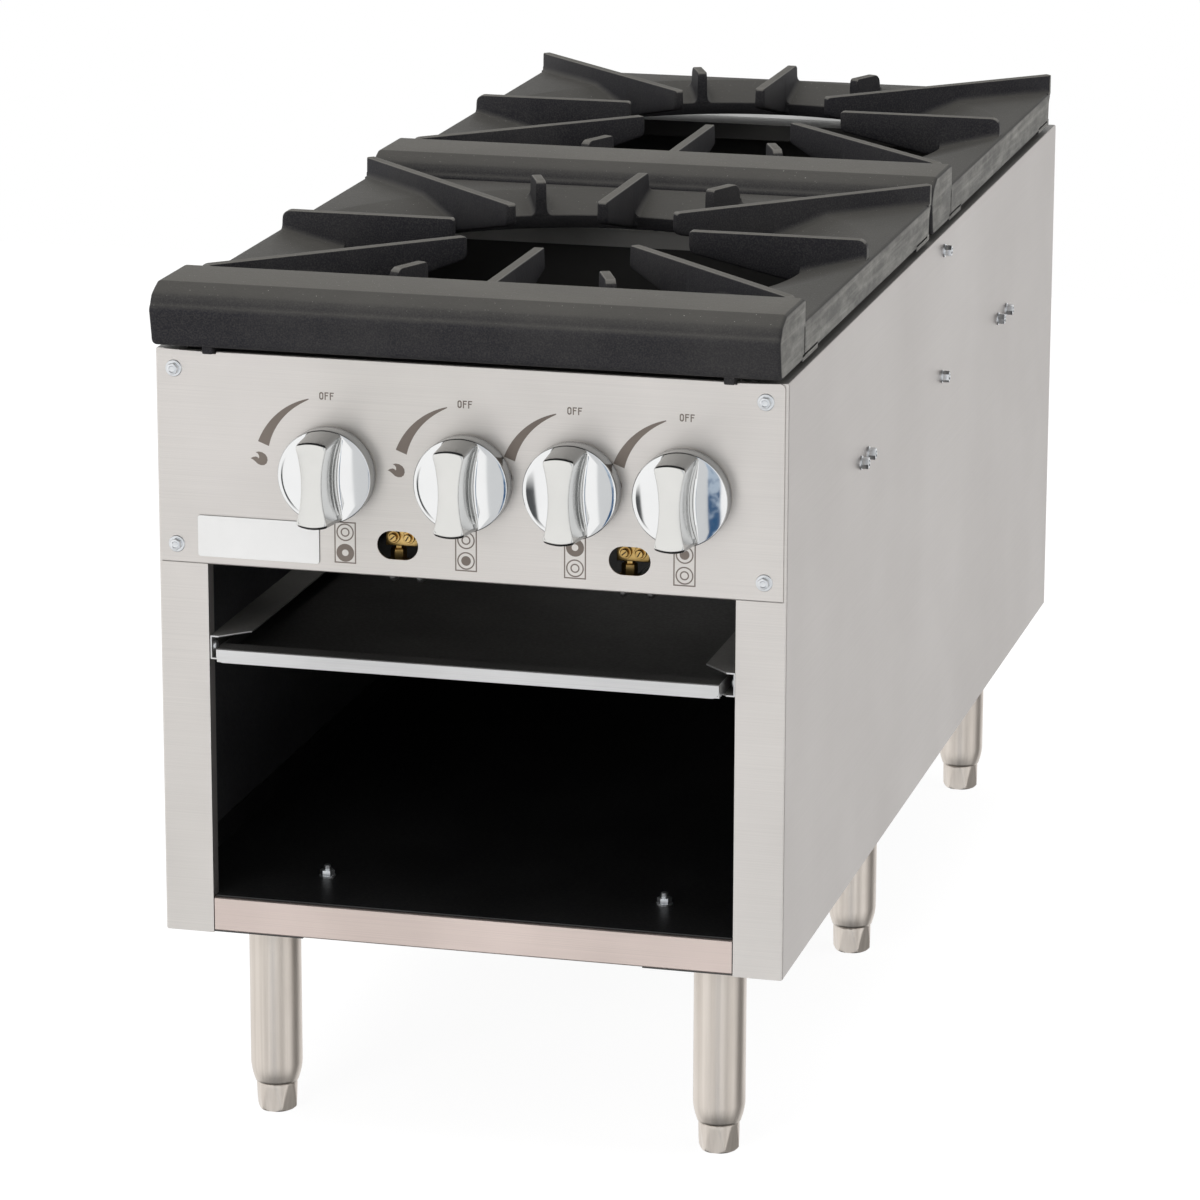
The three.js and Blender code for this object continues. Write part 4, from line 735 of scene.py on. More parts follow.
def port_tree():
    """Short drillings round a burner ring, leaning outwards or inwards."""
    tree, source, sink = node_group(
        "burner ports",
        {"Base": "Geometry", "Ring Radius": "Float", "Count": "Int", "Port Radius": "Float", "Lean": "Float",
         "Centre": "Vector", "Finish": "Material"},
        {"Ports": "Geometry"}, "Geometry")
    given = source.outputs
    ring = add_node(tree, "GeometryNodeMeshCircle",
                    {"Vertices": given["Count"], "Radius": given["Ring Radius"]}, fill_type="NONE")
    points = add_node(tree, "GeometryNodeMeshToPoints", {"Mesh": ring})
    at = add_node(tree, "GeometryNodeInputPosition")
    unit = add_node(tree, "ShaderNodeVectorMath", {0: at}, operation="NORMALIZE")
    out = add_node(tree, "ShaderNodeVectorMath", {0: unit, "Scale": given["Lean"]}, operation="SCALE")
    up = add_node(tree, "ShaderNodeVectorMath", {0: out, 1: (0, 0, 1)}, operation="ADD")
    aim = add_node(tree, "FunctionNodeAlignRotationToVector", {"Vector": up}, axis="Z")
    hole = add_node(tree, "GeometryNodeMeshCylinder",
                    {"Vertices": PORT_SIDES, "Radius": given["Port Radius"], "Depth": PORT_DEPTH * MM})
    copies = add_node(tree, "GeometryNodeInstanceOnPoints",
                      {"Points": points, "Instance": hole, "Rotation": aim})
    move = add_node(tree, "GeometryNodeTransform", {"Geometry": copies, "Translation": given["Centre"]})
    hand_out(tree, move, given["Finish"], sink)
    return tree


def grown(name, tree, places, settings, body):
    """Runs a tree on an object of points and keeps its result as a plain mesh."""
    mesh = bpy.data.meshes.new(name + "_places")
    mesh.from_pydata([(x * MM, (y + FRONT) * MM, z * MM) for x, y, z in places], [], [])
    seedling = bpy.data.objects.new(name + "_places", mesh)
    bpy.context.scene.collection.objects.link(seedling)
    modifier = seedling.modifiers.new("grow", "NODES")
    modifier.node_group = tree
    for item in tree.interface.items_tree:
        if item.item_type == "SOCKET" and item.in_out == "INPUT" and item.name in settings:
            modifier[item.identifier] = settings[item.name]
    bpy.context.view_layer.update()
    depsgraph = bpy.context.evaluated_depsgraph_get()
    result = bpy.data.meshes.new_from_object(seedling.evaluated_get(depsgraph), depsgraph=depsgraph)
    result.name = name
    bpy.data.objects.remove(seedling)
    bm = bmesh.new()
    bm.from_mesh(result)
    mark_edges(bm, SMALL_CREASE)
    bm.to_mesh(result)
    bm.free()
    piece = bpy.data.objects.new(name, result)
    bpy.context.scene.collection.objects.link(piece)
    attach(piece, body)
    return piece


def head_pattern(name, *lofts):
    """A head about the origin, facing +z, kept only as a pattern for the trees."""
    form = Form()
    for rings in lofts:
        form.loft(rings)
    mesh = bpy.data.meshes.new(name)
    mesh.from_pydata([(x * MM, y * MM, z * MM) for x, y, z in form.corners], [], form.faces)
    bm = bmesh.new()
    bm.from_mesh(mesh)
    bmesh.ops.remove_doubles(bm, verts=bm.verts[:], dist=0.003 * MM)
    bmesh.ops.recalc_face_normals(bm, faces=bm.faces[:])
    bm.to_mesh(mesh)
    bm.free()
    return bpy.data.objects.new(name, mesh)


def head_rings(sections, reach):
    """Rings at heights, whose reach in each direction is a function of the section's size and cut."""
    turn = [2 * pi * k / 48 for k in range(48)]
    rings = []
    for size, cut, z in sections:
        rings.append([(reach(size, cut, t) * cos(t), reach(size, cut, t) * sin(t), z) for t in turn])
    return rings


def hex_washer_head():
    """A hexagon head with a dished top, in one with its washer."""
    washer = turned([(0, -0.6), (6.3, -0.6), (6.3, 0.5), (5.9, 1.0), (4.6, 1.1), (0, 1.1)], 40)
    sections = [(1.0, 4.45, 0.6), (1.0, 4.45, 4.0), (0.93, 4.45, 4.6), (0.6, None, 4.9), (0.5, None, 4.5),
                (0.02, None, 4.3)]

    def reach(grow, cut, t):
        return grow * (min(hexagon_reach(4.0, t), cut) if cut else 4.2)

    return head_pattern("hex_washer_head", washer, head_rings(sections, reach))


def tall_hex_head():
    """A hexagon head with a hollow end, standing on its washer."""
    washer = turned([(0, -0.5), (5.2, -0.5), (5.35, 0.2), (5.2, 1.0), (4.7, 1.3), (0, 1.3)], 40)
    sections = [(4.2, 4.1, 0.9), (4.6, 4.6, 1.5), (4.6, 4.6, 5.4), (4.2, 4.25, 6.1), (3.1, None, 6.38),
                (2.5, None, 6.3), (2.2, None, 5.2), (0.02, None, 5.0)]

    def reach(r, cut, t):
        return min(hexagon_reach(r * cos(pi / 6), t), cut) if cut else r

    return head_pattern("tall_hex_head", washer, head_rings(sections, reach))


def pan_head():
    return head_pattern("pan_head", turned([(0, -0.6), (4.6, -0.6), (4.7, 0.3), (4.4, 1.5), (3.4, 2.4),
                                            (2.0, 2.9), (1.2, 2.95), (0, 2.6)], 32))


def bolt_end():
    """A washer, a nut and the end of the bolt in it."""
    return head_pattern("bolt_end", turned([(0, -0.3), (7.2, -0.3), (7.2, 0.9), (6.9, 1.2), (0, 1.2)], 32),
                        turned([(6.4, 1.2), (6.4, 5.2), (5.9, 5.9), (3.3, 6.0)], 6),
                        turned([(0, 5.0), (3.0, 5.0), (3.0, 9.6), (2.4, 10.2), (0, 10.2)], 24))


FASTENERS = fastener_tree()
PORTS = port_tree()


def place_fasteners():
    """The loose screws and bolts, and the side screws' heads, which are trimmed off the solids."""
    hexes, tall, pans, bolts = hex_washer_head(), tall_hex_head(), pan_head(), bolt_end()
    quarter = pi / 2
    panel = [(-214.8, 0, 571.7), (212.6, 0, 572.3), (-214.8, 0, 444.2), (212.7, 0, 444.4)]
    grown("panel_screws", FASTENERS, panel,
          {"Head": hexes, "Size": 0.96, "Turn": (quarter, 0.0, 0.0), "Spin Spread": 1.0, "Finish": ZINC},
          "cabinet")
    spots = [(558, 572.0), (558, 471.3), (248, 473.4), (273, 474.7), (801, 468.0), (838, 468.4)]
    for side, sign in (("left", -1), ("right", 1)):
        grown(f"{side}_side_screws", FASTENERS, [(sign * HALF, y, z) for y, z in spots],
              {"Head": tall, "Size": 1.0, "Turn": (0.0, sign * quarter, 0.0), "Spin Spread": 1.0,
               "Finish": ZINC}, "cabinet")
        grown(f"{side}_runner_screws", FASTENERS, [(sign * 190.9, y, 368.6) for y in (9.5, 1040.0)],
              {"Head": pans, "Size": 0.85, "Turn": (0.0, -sign * quarter, 0.0), "Spin Spread": 6.2,
               "Finish": ZINC}, "cabinet")
    grown("shelf_bolts", FASTENERS, [(sign * 126.7, y, 183.0) for sign in (-1, 1) for y in (67.0, 1001.0)],
          {"Head": bolts, "Size": 0.85, "Turn": (0.0, 0.0, 0.0), "Spin Spread": 3.0, "Finish": ZINC},
          "cabinet")


place_fasteners()


# ------------------------------------------------------------------ top grates
GRATE_X = 226.5
REAR_EDGE = 230.0
NOSE_BACK = -223.0
NOSE_TIP = -302.0
DECK = 32.4
RING_RIM = 20.4
WALL_FOOT = 10.4
SKIRT_FOOT = 6.4
NOSE_TOP = 48.4
FINGER_TOP = 47.2
RING_R = 174.0
CONE_R = 222.0
SLOPE = (DECK - RING_RIM) / (CONE_R - RING_R)


DECK_FRONT = NOSE_BACK - 5.5
DECK_CORNER = 3.0


def edge_distance(angle, inset, z):
    """How far the grate's rounded rectangle lies from the burner's axis in one direction."""
    c, s = cos(angle), sin(angle)
    x = GRATE_X - inset
    rear = REAR_EDGE - 7.0 * max(0.0, DECK - z) / (DECK - SKIRT_FOOT) - inset
    front = -DECK_FRONT - inset
    y = rear if s > 0 else front
    reach = min(x / abs(c) if abs(c) > 1e-9 else 1e9, y / abs(s) if abs(s) > 1e-9 else 1e9)
    px, py = abs(reach * c), abs(reach * s)
    kx, ky = x - DECK_CORNER, y - DECK_CORNER
    if px > kx and py > ky:
        along = abs(c) * kx + abs(s) * ky
        reach = along + sqrt(max(0.0, along * along - kx * kx - ky * ky + DECK_CORNER * DECK_CORNER))
    return reach


def deck_angles():
    """Directions for the deck's rays, closer together at the corners."""
    angles = {round(2 * pi * k / 240, 7) for k in range(240)}
    for sx in (-1, 1):
        for y in (REAR_EDGE, DECK_FRONT):
            middle = atan2(y, sx * GRATE_X)
            for k in range(-8, 9):
                angles.add(round((middle + k * 0.0022) % (2 * pi), 7))
    return sorted(angles)


def grate_deck(form):
    """The deck with the ring's sloping wall, the outer skirt and the hollow underside, as one closed band."""
    angles = deck_angles()
    rings = []

    def round_ring(r, z):
        rings.append([(r * cos(t), r * sin(t), z) for t in angles])

    def edge_ring(inset, z=None, limit=1e9):
        """Follows the outer edge, at a height or along the underside."""
        ring = []
        for t in angles:
            r = min(limit, edge_distance(t, inset, SKIRT_FOOT if z is None else z))
            ring.append((r * cos(t), r * sin(t), under(r) if z is None else z))
        rings.append(ring)

    def under(r):
        return min(DECK - 9.0, RING_RIM - 9.0 + SLOPE * (r - RING_R))

    for r, z in ((175.2, WALL_FOOT), (174.3, WALL_FOOT + 0.4), (RING_R, WALL_FOOT + 1.3),
                 (RING_R, RING_RIM - 0.7), (174.2, RING_RIM - 0.2), (174.7, RING_RIM + 0.15),
                 (175.6, RING_RIM + 0.45), (220.4, 32.0), (221.4, 32.22), (222.2, 32.35), (223.0, DECK)):
        round_ring(r, z)
    for inset, z in ((2.6, DECK), (1.5, 32.05), (0.6, 31.2), (0.08, 29.8), (0.0, 28.4), (0.0, 7.8),
                     (0.5, 6.8), (1.6, SKIRT_FOOT), (8.4, SKIRT_FOOT), (9.6, 6.8), (10.0, 8.0)):
        edge_ring(inset, z)
    edge_ring(10.4)
    edge_ring(12.0, limit=CONE_R)
    for r, z in ((186.5, under(186.5)), (184.6, 13.6), (184.0, 12.2), (183.6, 10.9), (182.6, WALL_FOOT)):
        round_ring(r, z)
    form.loft(rings, around=True)


def offset_outline(points, distance, keep):
    """A closed outline moved inwards by a distance, except where a point is kept."""
    moved = []
    n = len(points)
    area = sum(points[i - 1][0] * points[i][1] - points[i][0] * points[i - 1][1] for i in range(n))
    turn = 1 if area > 0 else -1
    for i in range(n):
        ax, ay = points[i - 1]
        bx, by = points[i]
        cx, cy = points[(i + 1) % n]
        ux, uy = bx - ax, by - ay
        vx, vy = cx - bx, cy - by
        lu, lv = hypot(ux, uy), hypot(vx, vy)
        nx = -turn * (uy / lu + vy / lv)
        ny = turn * (ux / lu + vx / lv)
        size = hypot(nx, ny) or 1.0
        k = distance / max(0.5, size / 2) / size
        moved.append((bx + (0 if keep((bx, by)) else nx * k), by + ny * k))
    return moved


def nose_outline(hollow):
    """The front bar's profile in y and z, as a hooked shell or as a filled end."""
    low, top, tip = 4.4, NOSE_TOP, NOSE_TIP
    bulge = (top + low) / 2 + 3.0
    points = [(NOSE_BACK, low), (NOSE_BACK, top - 2.4), (NOSE_BACK - 0.4, top - 1.0),
              (NOSE_BACK - 1.2, top - 0.2), (NOSE_BACK - 2.6, top), (tip + 21.6, top),
              (tip + 20.4, top - 0.02)]
    shoulder = [(19.6, 0.25), (18.6, 0.65), (12.6, 3.2), (8.4, 5.3), (7.2, 6.1), (5.9, 7.2), (3.4, 11.4),
                (2.7, 13.0)]
    points += [(tip + out, top - down) for out, down in shoulder]
    start = points[-1]
    points += [bezier(start, (tip, top - 15), (tip, bulge), k / 6) for k in range(1, 7)]
    points += [(tip + 0.5, bulge - 1.6), (tip + 4, low + 7)]
    start = points[-1]
    points += [bezier(start, (tip + 4, low), (tip + 12, low), k / 5) for k in range(1, 6)]
    if hollow:
        points += [(tip + 14, low), (tip + 15, low + 1), (tip + 15, top - 13), (tip + 17, top - 11),
                   (NOSE_BACK - 13, top - 11), (NOSE_BACK - 11, top - 13), (NOSE_BACK - 11, low + 1),
                   (NOSE_BACK - 10, low)]
    return points


def grate_nose(form):
    shell = nose_outline(True)
    form.loft([[(x, y, z) for y, z in shell] for x in (-216.02, 216.02)])
    plate = nose_outline(False)
    rounding = 3.0
    for sign in (-1, 1):
        rings = [[(sign * 216.0, y, z) for y, z in plate]]
        for k in range(6):
            t = radians(18 * k)
            inset = rounding * (1 - cos(t))
            outline = offset_outline(plate, inset, keep=lambda p: p[0] > NOSE_BACK - 3)
            rings.append([(sign * (GRATE_X - rounding + rounding * sin(t)), y, z) for y, z in outline])
        form.loft(rings)


RIB_TOP = 3.9
RIB_FOOT = 4.3
FLARE = 5.0


def cone_height(r):
    """How high the sloping ring and the deck around it stand."""
    return min(DECK, RING_RIM + SLOPE * (r - RING_R))


def rib_section(r, half, top, low=None, flare=0.0, limit=99.0):
    """One upright section of a rib, over a free underside or with a flared foot on the ring and deck."""
    ease = min(1.0, half * 0.5)
    narrow = max(half - (RIB_FOOT - RIB_TOP), half * 0.7)

    def width(z):
        share = min(1.0, max(0.0, (top - z) / 13.0))
        return min(limit, narrow + (half - narrow) * share)

    right = [(0.0, top)]
    for k in range(4):
        t = radians(90 - 30 * k)
        right.append((min(limit, narrow - ease + ease * cos(t)), top - ease + ease * sin(t)))
    if low is not None:
        body, foot = low + 2.0, low
        right.append((width(body + 4.0), max(body + 0.2, min(body + 4.0, top - ease - 0.2))))
        right.append((width(body) + flare, body))
        right.append((width(body) - 0.25 + flare, low + 1.2))
        right.append((width(body) - 0.8 + flare, low + 0.5))
        right.append((max(0.3, width(body) - 1.8) + flare, low))
        right.append((max(0.2, width(body) - 2.6) + flare, low))
    else:
        deck = cone_height(r)
        foot = deck - 3.0
        base = max(deck, min(deck + FLARE, top - ease - 0.3) - FLARE)
        for share in (0.0, 0.35, 0.62, 0.82, 0.95):
            t = share * pi / 2
            out = FLARE * (1 - cos(t)) * 0.95
            z = base + FLARE * (1 - sin(t))
            right.append((min(limit, width(z) + out), z))
        right.append((min(limit, width(deck) + FLARE * 0.95 + 0.8), deck - 1.4))
    right.append((0.0, foot))
    left = [(-t, z) for t, z in reversed(right[1:-1])]
    return [(r, t, z) for t, z in right + left]


def rib(form, angle, rings):
    c, s = cos(angle), sin(angle)
    form.loft([[(r * c - t * s, r * s + t * c, z) for r, t, z in ring] for ring in rings])


def fallen(distance, radius):
    """How far a quarter-round end has fallen at a distance from its tip."""
    share = min(1.0, max(0.0, (radius - distance) / radius))
    return radius * (1 - sqrt(1 - share * share))


def finger_rings(end, closing):
    """A pot-support finger from its free tip to its outer end."""
    tip, low_tip, nose = 90.0, FINGER_TOP - 18.0, 6.0
    rings = []

    def underside(r):
        share = (r - tip - 6.0) / (RING_R + 2.0 - tip - 6.0)
        return low_tip + (11.5 - low_tip) * max(0.0, share) + min(fallen(r - tip, nose), nose * 0.9)

    for r in (tip, tip + 0.25, tip + 0.8, tip + 1.6, tip + 2.6, tip + 4.0, tip + 5.9, tip + 8, 110, 130,
              150, 162, 168):
        s = max(0.0, (tip + 2.6 - r) / 2.6)
        k = sqrt(max(0.0, 1 - s * s))
        half, low = RIB_FOOT * (0.45 + 0.55 * k), underside(r) + 1.6 * (1 - k)
        rings.append(rib_section(r, half, FINGER_TOP - fallen(r - tip, 3.0), low))
    for d in (4.0, 2.8, 1.8, 1.0, 0.4):
        flare = FLARE - sqrt(FLARE * FLARE - (FLARE - d) ** 2)
        rings.append(rib_section(RING_R - d, RIB_FOOT, FINGER_TOP, underside(RING_R - d), flare))
    stations = [RING_R + 0.5, 177, 182, 195, 208]
    last = end - 7.0
    stations += [r for r in (222.0, 240.0, 262.0, 285.0) if 214 < r < last - 4]
    for r in stations:
        rings.append(rib_section(r, RIB_FOOT, FINGER_TOP))
    if closing == "prow":
        for back in (8.0, 5.0, 4.05, 3.2, 2.4, 1.7, 1.1, 0.7):
            drop = 2.2 * max(0.0, (3.0 - back) / 3.0) ** 2
            rings.append(rib_section(end - back, RIB_FOOT, FINGER_TOP - drop, limit=back))
    elif closing == "inside":
        rings.append(rib_section(end, RIB_FOOT, FINGER_TOP))
    else:
        for back in (7.0, 5.4, 3.8, 2.4, 1.3, 0.5, 0.0):
            half = RIB_FOOT * (1 - 0.42 * max(0.0, (2.2 - back) / 2.2) ** 2)
            rings.append(rib_section(end - back, half, FINGER_TOP - fallen(back, 7.0)))
    return rings


def nub_rings():
    """A short rib that starts at the ring's rim."""
    inner, outer = RING_R, RING_R + 35.0
    rings = []
    for r, top in ((inner, 33.0), (inner + 0.3, 39.0), (inner + 0.6, 43.4), (inner + 1.0, 45.4),
                   (inner + 1.8, 46.7), (inner + 2.8, FINGER_TOP), (inner + 14, FINGER_TOP),
                   (outer - 7, FINGER_TOP)):
        half = RIB_FOOT * (0.8 if r == inner else 0.93 if r < inner + 0.5 else 1.0)
        rings.append(rib_section(r, half, top))
    for back in (5.4, 3.8, 2.4, 1.3, 0.5, 0.0):
        rings.append(rib_section(outer - back, RIB_FOOT, FINGER_TOP - fallen(back, 7.0)))
    for on, top in ((1.6, 36.5), (3.0, 33.5), (4.6, 31.4)):
        rings.append(rib_section(outer + on, RIB_FOOT * (1 - on * 0.1), top))
    return rings


def grate(front_lugs):
    """A whole top grate about its burner's axis, with the pads it stands on and the front one's lugs."""
    form = Form()
    grate_deck(form)
    grate_nose(form)
    quarter = pi / 2
    corner = atan2(REAR_EDGE, GRATE_X)
    reach = hypot(GRATE_X, REAR_EDGE)
    for angle in (0.0, pi):
        rib(form, angle, finger_rings(GRATE_X - 2.5, "slope"))
    rib(form, quarter, finger_rings(REAR_EDGE - 7.0, "slope"))
    rib(form, -quarter, finger_rings(-NOSE_BACK + 6.0, "inside"))
    for angle in (corner, pi - corner):
        rib(form, angle, finger_rings(reach, "prow"))
    for angle in (-quarter / 2, -1.5 * quarter):
        rib(form, angle, finger_rings((GRATE_X - 10.5) / cos(quarter / 2), "slope"))
    for base in (quarter, -quarter):
        for offset in (radians(22.5), -radians(22.5)):
            rib(form, base + offset, nub_rings())
    pad = GRATE_X - 18.0
    for sign in (-1, 1):
        for y in (NOSE_BACK - 8.0, REAR_EDGE - 57.0):
            for outer, low, high in ((GRATE_X, 4.1, 10.0), (GRATE_X - 10.2, 0.3, 21.0)):
                a, b = sorted((sign * pad, sign * outer))
                form.block(a, b, y, y + 50, low, high, 0.8)
    if front_lugs:
        for sign in (-1, 1):
            centre = sign * 187.9
            form.block(centre - 3.75, centre + 3.75, NOSE_TIP + 13, 1.2 - BURNER_Y, -1.4, 42.0, 0.8)
    return form


def place_grates():
    for name, lift in (("front", 0.0), ("rear", GRATE_PITCH)):
        form = grate(name == "front")
        form.corners = [(x, y + BURNER_Y + lift, z + TOP) for x, y, z in form.corners]
        piece = build(form, f"{name}_grate_casting", [IRON, WORN_LIT_IRON_TOP, WORN_HIGHLIT_IRON_EDGE], f"{name}_grate_body",
                      [f"{name}_top_grate"], angle=38)
        # Flat tops take the lighter top copy and upper edges the lighter edge copy: wear with painted light
        # and painted highlight.
        for face in piece.data.polygons:
            height, flat = face.center.z / MM - TOP, face.normal.z
            front = face.center.y / MM - FRONT - BURNER_Y - lift < NOSE_BACK
            if height > 45.5 and flat > 0.985:
                face.material_index = 1
            elif height > 44.5 and flat > 0.3 and not front:
                face.material_index = 2


place_grates()


# ------------------------------------------------------------------ burners
OUTER_RING, INNER_RING = 118.0, 62.0
RING_BAND = 26.0
MOUTH = 81.0
PORT_Z = 550.4


def ring_profile(radius):
    """The section of a ring burner: outer walls that taper to a flat crown with a groove."""
    base, top = 522.4, 554.4
    inner, middle = radius - RING_BAND, radius - RING_BAND / 2
    return [(inner + 0.6, base + 5.6), (middle - 6, base + 2.4), (middle, base + 0.2),
            (middle + 6, base + 2.4), (radius - 0.6, base + 5.6), (radius, base + 7.0), (radius, top - 9.0),
            (radius - 0.4, top - 7.4), (radius - 3.6, top - 0.7), (radius - 4.8, top), (radius - 12.2, top),
            (radius - 13.0, top - 0.8), (radius - 13.8, top), (inner + 4.8, top), (inner + 3.6, top - 0.7),
            (inner + 0.4, top - 7.4), (inner, top - 9.0), (inner, base + 7.0)]


def burner(name, place, radius, tube_x, centre_y, steps):
    """A cast ring burner with its mixing tube, its bosses and its ports."""
    form = Form()
    form.loft(turned(ring_profile(radius), steps, at=(0, centre_y, 0)), around=True)
    middle = radius - RING_BAND / 2
    join_y = centre_y - sqrt(middle ** 2 - tube_x ** 2)
    front = centre_y - BURNER_Y + MOUTH
    profile = [(14.6, front + 22), (18.0, front + 1.2), (18.8, front), (21.0, front), (22.0, front + 0.8),
               (22.0, front + 4.0), (18.6, front + 11.0), (14.6, front + 18.0), (12.6, front + 24.0),
               (13.2, front + 32.0), (15.4, front + 44.0), (16.0, front + 52.0), (16.0, join_y),
               (0, join_y + 1)]
    form.loft(turned([(0, front + 30)] + profile, 40, axis="y", at=(tube_x, 0, KNOB_Z)))
    form.loft(turned([(0, 489.0), (8.0, 489.6), (11.5, 492.4), (11.6, 538.0), (0, 538.0)], 32,
                     at=(tube_x, join_y, 0)))
    for sign in (-1, 1):
        x = sign * middle
        form.block(x - 7, x + 7, centre_y - 7, centre_y + 7, 474.7, 538.0, 1.2)
    build(form, f"{place}_{name}_burner_casting", BURNER_IRON, "cabinet",
          [f"{place}_{name}_burner"], angle=40)
    count = round(radius * 0.62)
    for tag, ring_r, lean in (("outside", radius - 2.1, 1.1), ("inside", radius - 23.9, -1.1)):
        grown(f"{place}_{name}_{tag}_ports", PORTS, [(0, 0, 0)],
              {"Ring Radius": ring_r * MM, "Count": count, "Port Radius": 1.3 * MM, "Lean": lean,
               "Centre": (0.0, (centre_y + FRONT) * MM, PORT_Z * MM), "Finish": PORT_DARK}, "cabinet")


for place, y in (("front", BURNER_Y), ("rear", BURNER_Y + GRATE_PITCH)):
    burner("outer", place, OUTER_RING, KNOB_X[0], y, 112)
    burner("inner", place, INNER_RING, KNOB_X[1], y, 80)
    softened(f"{place}_burner_support", f"{place}_support_strap", INNER_SHEET, "cabinet",
             edge=0.3)


# ------------------------------------------------------------------ gas pipe, valves and tubes
def pipework():
    form = Form()
    left = KNOB_X[0] - 78.5
    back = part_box("manifold_pipe")[1].y / MM - FRONT
    x, y, z, radius = 190, 45, 476.4, 13.35
    tube(form, [(left, y, z), (x, y, z), (x, back - 60, z)], 30, radius, 36)
    form.loft(turned([(12.9, back - 61), (radius, back - 60), (radius, back - 14), (13.0, back - 13),
                      (13.3, back - 12), (12.9, back - 11), (13.2, back - 10), (12.8, back - 9),
                      (13.1, back - 8), (12.7, back - 7), (13.0, back - 6), (12.6, back - 5),
                      (12.9, back - 4), (12.5, back - 3), (12.6, back - 1), (12.2, back), (10.9, back),
                      (10.45, back - 0.6), (10.45, back - 58), (0, back - 58)], 36, axis="y", at=(x, 0, z)))
    form.loft(turned([(16.2, -13.3), (17.3, -12.3), (17.3, 12.3), (16.2, 13.3)], 6, axis="x",
                     at=(left, y, z), first=pi / 6))
    build(form, "gas_manifold", BLACK_PIPE, "cabinet", ["manifold_pipe"])
    for i in (1, 2, 3, 4):
        softened(f"burner_valve_{i}", f"valve_body_{i}", BRASS, "cabinet", edge=0.5)
        softened(f"valve_stem_{i}", f"valve_spindle_{i}", BRASS, f"knob_{i}_body", edge=0.3)
    for ring, valve, target in (("outer", 2, 0), ("inner", 3, 1)):
        mouth_y = GRATE_PITCH + MOUTH - 8.0
        swing = mouth_y - 88.0
        form = Form()
        start, end = KNOB_X[valve], KNOB_X[target]
        tube(form, [(start, 73.3, KNOB_Z), (start, swing - (start - end), KNOB_Z), (end, swing, KNOB_Z),
                    (end, mouth_y - 4, KNOB_Z)], 40, 6.35, 24)
        form.loft(turned([(7.9, -14), (9.0, -13), (9.0, -2), (7.0, 0)], 6, axis="y",
                         at=(end, mouth_y, KNOB_Z)))
        build(form, f"rear_{ring}_supply_tube", TUBE_METAL, "cabinet",
              [f"rear_{ring}_gas_line"])


pipework()


def pilot_valve(place, x0):
    """Brass pilot valve: a body with two slotted adjusting screws over two outlets."""
    form = Form()
    z0, screw_x = 453.4, 5.35
    form.block(x0 - 12, x0 + 12, 10.6, 30, z0 - 3, z0 + 11, 0.9)
    form.block(x0 - 7, x0 + 7, 26, 45, z0 - 3, z0 + 8, 0.7)
    form.loft(turned([(0, z0 - 3), (6.4, z0 - 3), (7, z0 - 2.4), (7, z0 + 9.3), (0, z0 + 9.3)], 28,
                     at=(x0, 45, 0)))
    for sign in (-1, 1):
        x = x0 + sign * screw_x
        form.loft(turned([(0, 11.5), (4.6, 11.5), (4.6, 9.0), (4.2, 8.2), (3.6, 8.2), (3.3, 9.2), (2.9, 9.2),
                          (2.9, 5.8), (2.5, 5.2), (0, 5.0)][::-1], 32, axis="y", at=(x, 0, z0 + 4)))
        form.loft(turned([(3.6, -19.6), (4.2, -19), (4.2, -14.8), (3.6, -14.2)], 6,
                         at=(x0 + sign * 9.0, 20, z0)))
    form.block(x0 - 13, x0 + 13, 15.5, 24.5, z0 - 18.6, z0 - 14.6, 0.6)
    form.loft(turned([(5.0, -16), (5.7, -15.6), (5.7, -6.4), (5.0, -5.6), (3.6, -5.4), (3.6, -2)], 6,
                     at=(x0 - 4.5, 18, z0), first=0.3))
    build(form, f"{place}_pilot_body", BRASS, "cabinet", [f"{place}_pilot_valve"])
    slots = Form()
    for sign, lean in ((-1, 0.75), (1, 1.05)):
        x = x0 + sign * screw_x
        c, s = cos(lean), sin(lean)
        ring = [(-2.1, -0.4), (2.1, -0.4), (2.1, 0.4), (-2.1, 0.4)]
        slots.loft([[(x + a * c - b * s, y, z0 + 4 + a * s + b * c) for a, b in ring] for y in (5.3, 4.92)])
    build(slots, f"{place}_pilot_screw_slots", PORT_DARK, "cabinet")


def pilot_tubes():
    outer_r = OUTER_RING + 5.0 + 1.8
    between_rings = (OUTER_RING - RING_BAND + INNER_RING) / 2
    for place, slot_x, y, side in (("front", -51.3, BURNER_Y, -1),
                                   ("rear", 116.75, BURNER_Y + GRATE_PITCH, 1)):
        pilot_valve(place, slot_x)
        behind = slot_x - 10.0
        ox = (1 if behind > 0 else -1) * min(abs(behind), 0.95 * outer_r)
        targets = {
            "outer": (slot_x + side * 10, ox, y - sqrt(outer_r ** 2 - ox ** 2)),
            "inner": (slot_x - side * 10, between_rings * sin(0.4), y - between_rings * cos(0.4)),
        }
        for name, (from_x, x, ty) in targets.items():
            dip, top = 423.4, 549.4
            rise = ty - 30.0
            corners = [(from_x, 20, 435.1), (from_x, 20, dip)]
            if abs(x - from_x) > 0.5:
                corners += [(from_x, rise - abs(x - from_x), dip), (x, rise, dip)]
            corners += [(x, ty, dip), (x, ty, top)]
            form = Form()
            tube(form, corners, 10, 2.4, 14)
            form.loft(turned([(0, top - 10), (4.2, top - 10), (5, top - 9.2), (5, top + 2), (3.6, top + 4.4),
                              (2.0, top + 5), (1.6, top + 3), (0, top + 3)], 20, at=(x, ty, 0)))
            build(form, f"{place}_{name}_pilot_line", TUBE_METAL, "cabinet",
                  [f"{place}_{name}_pilot_tube"])


pilot_tubes()


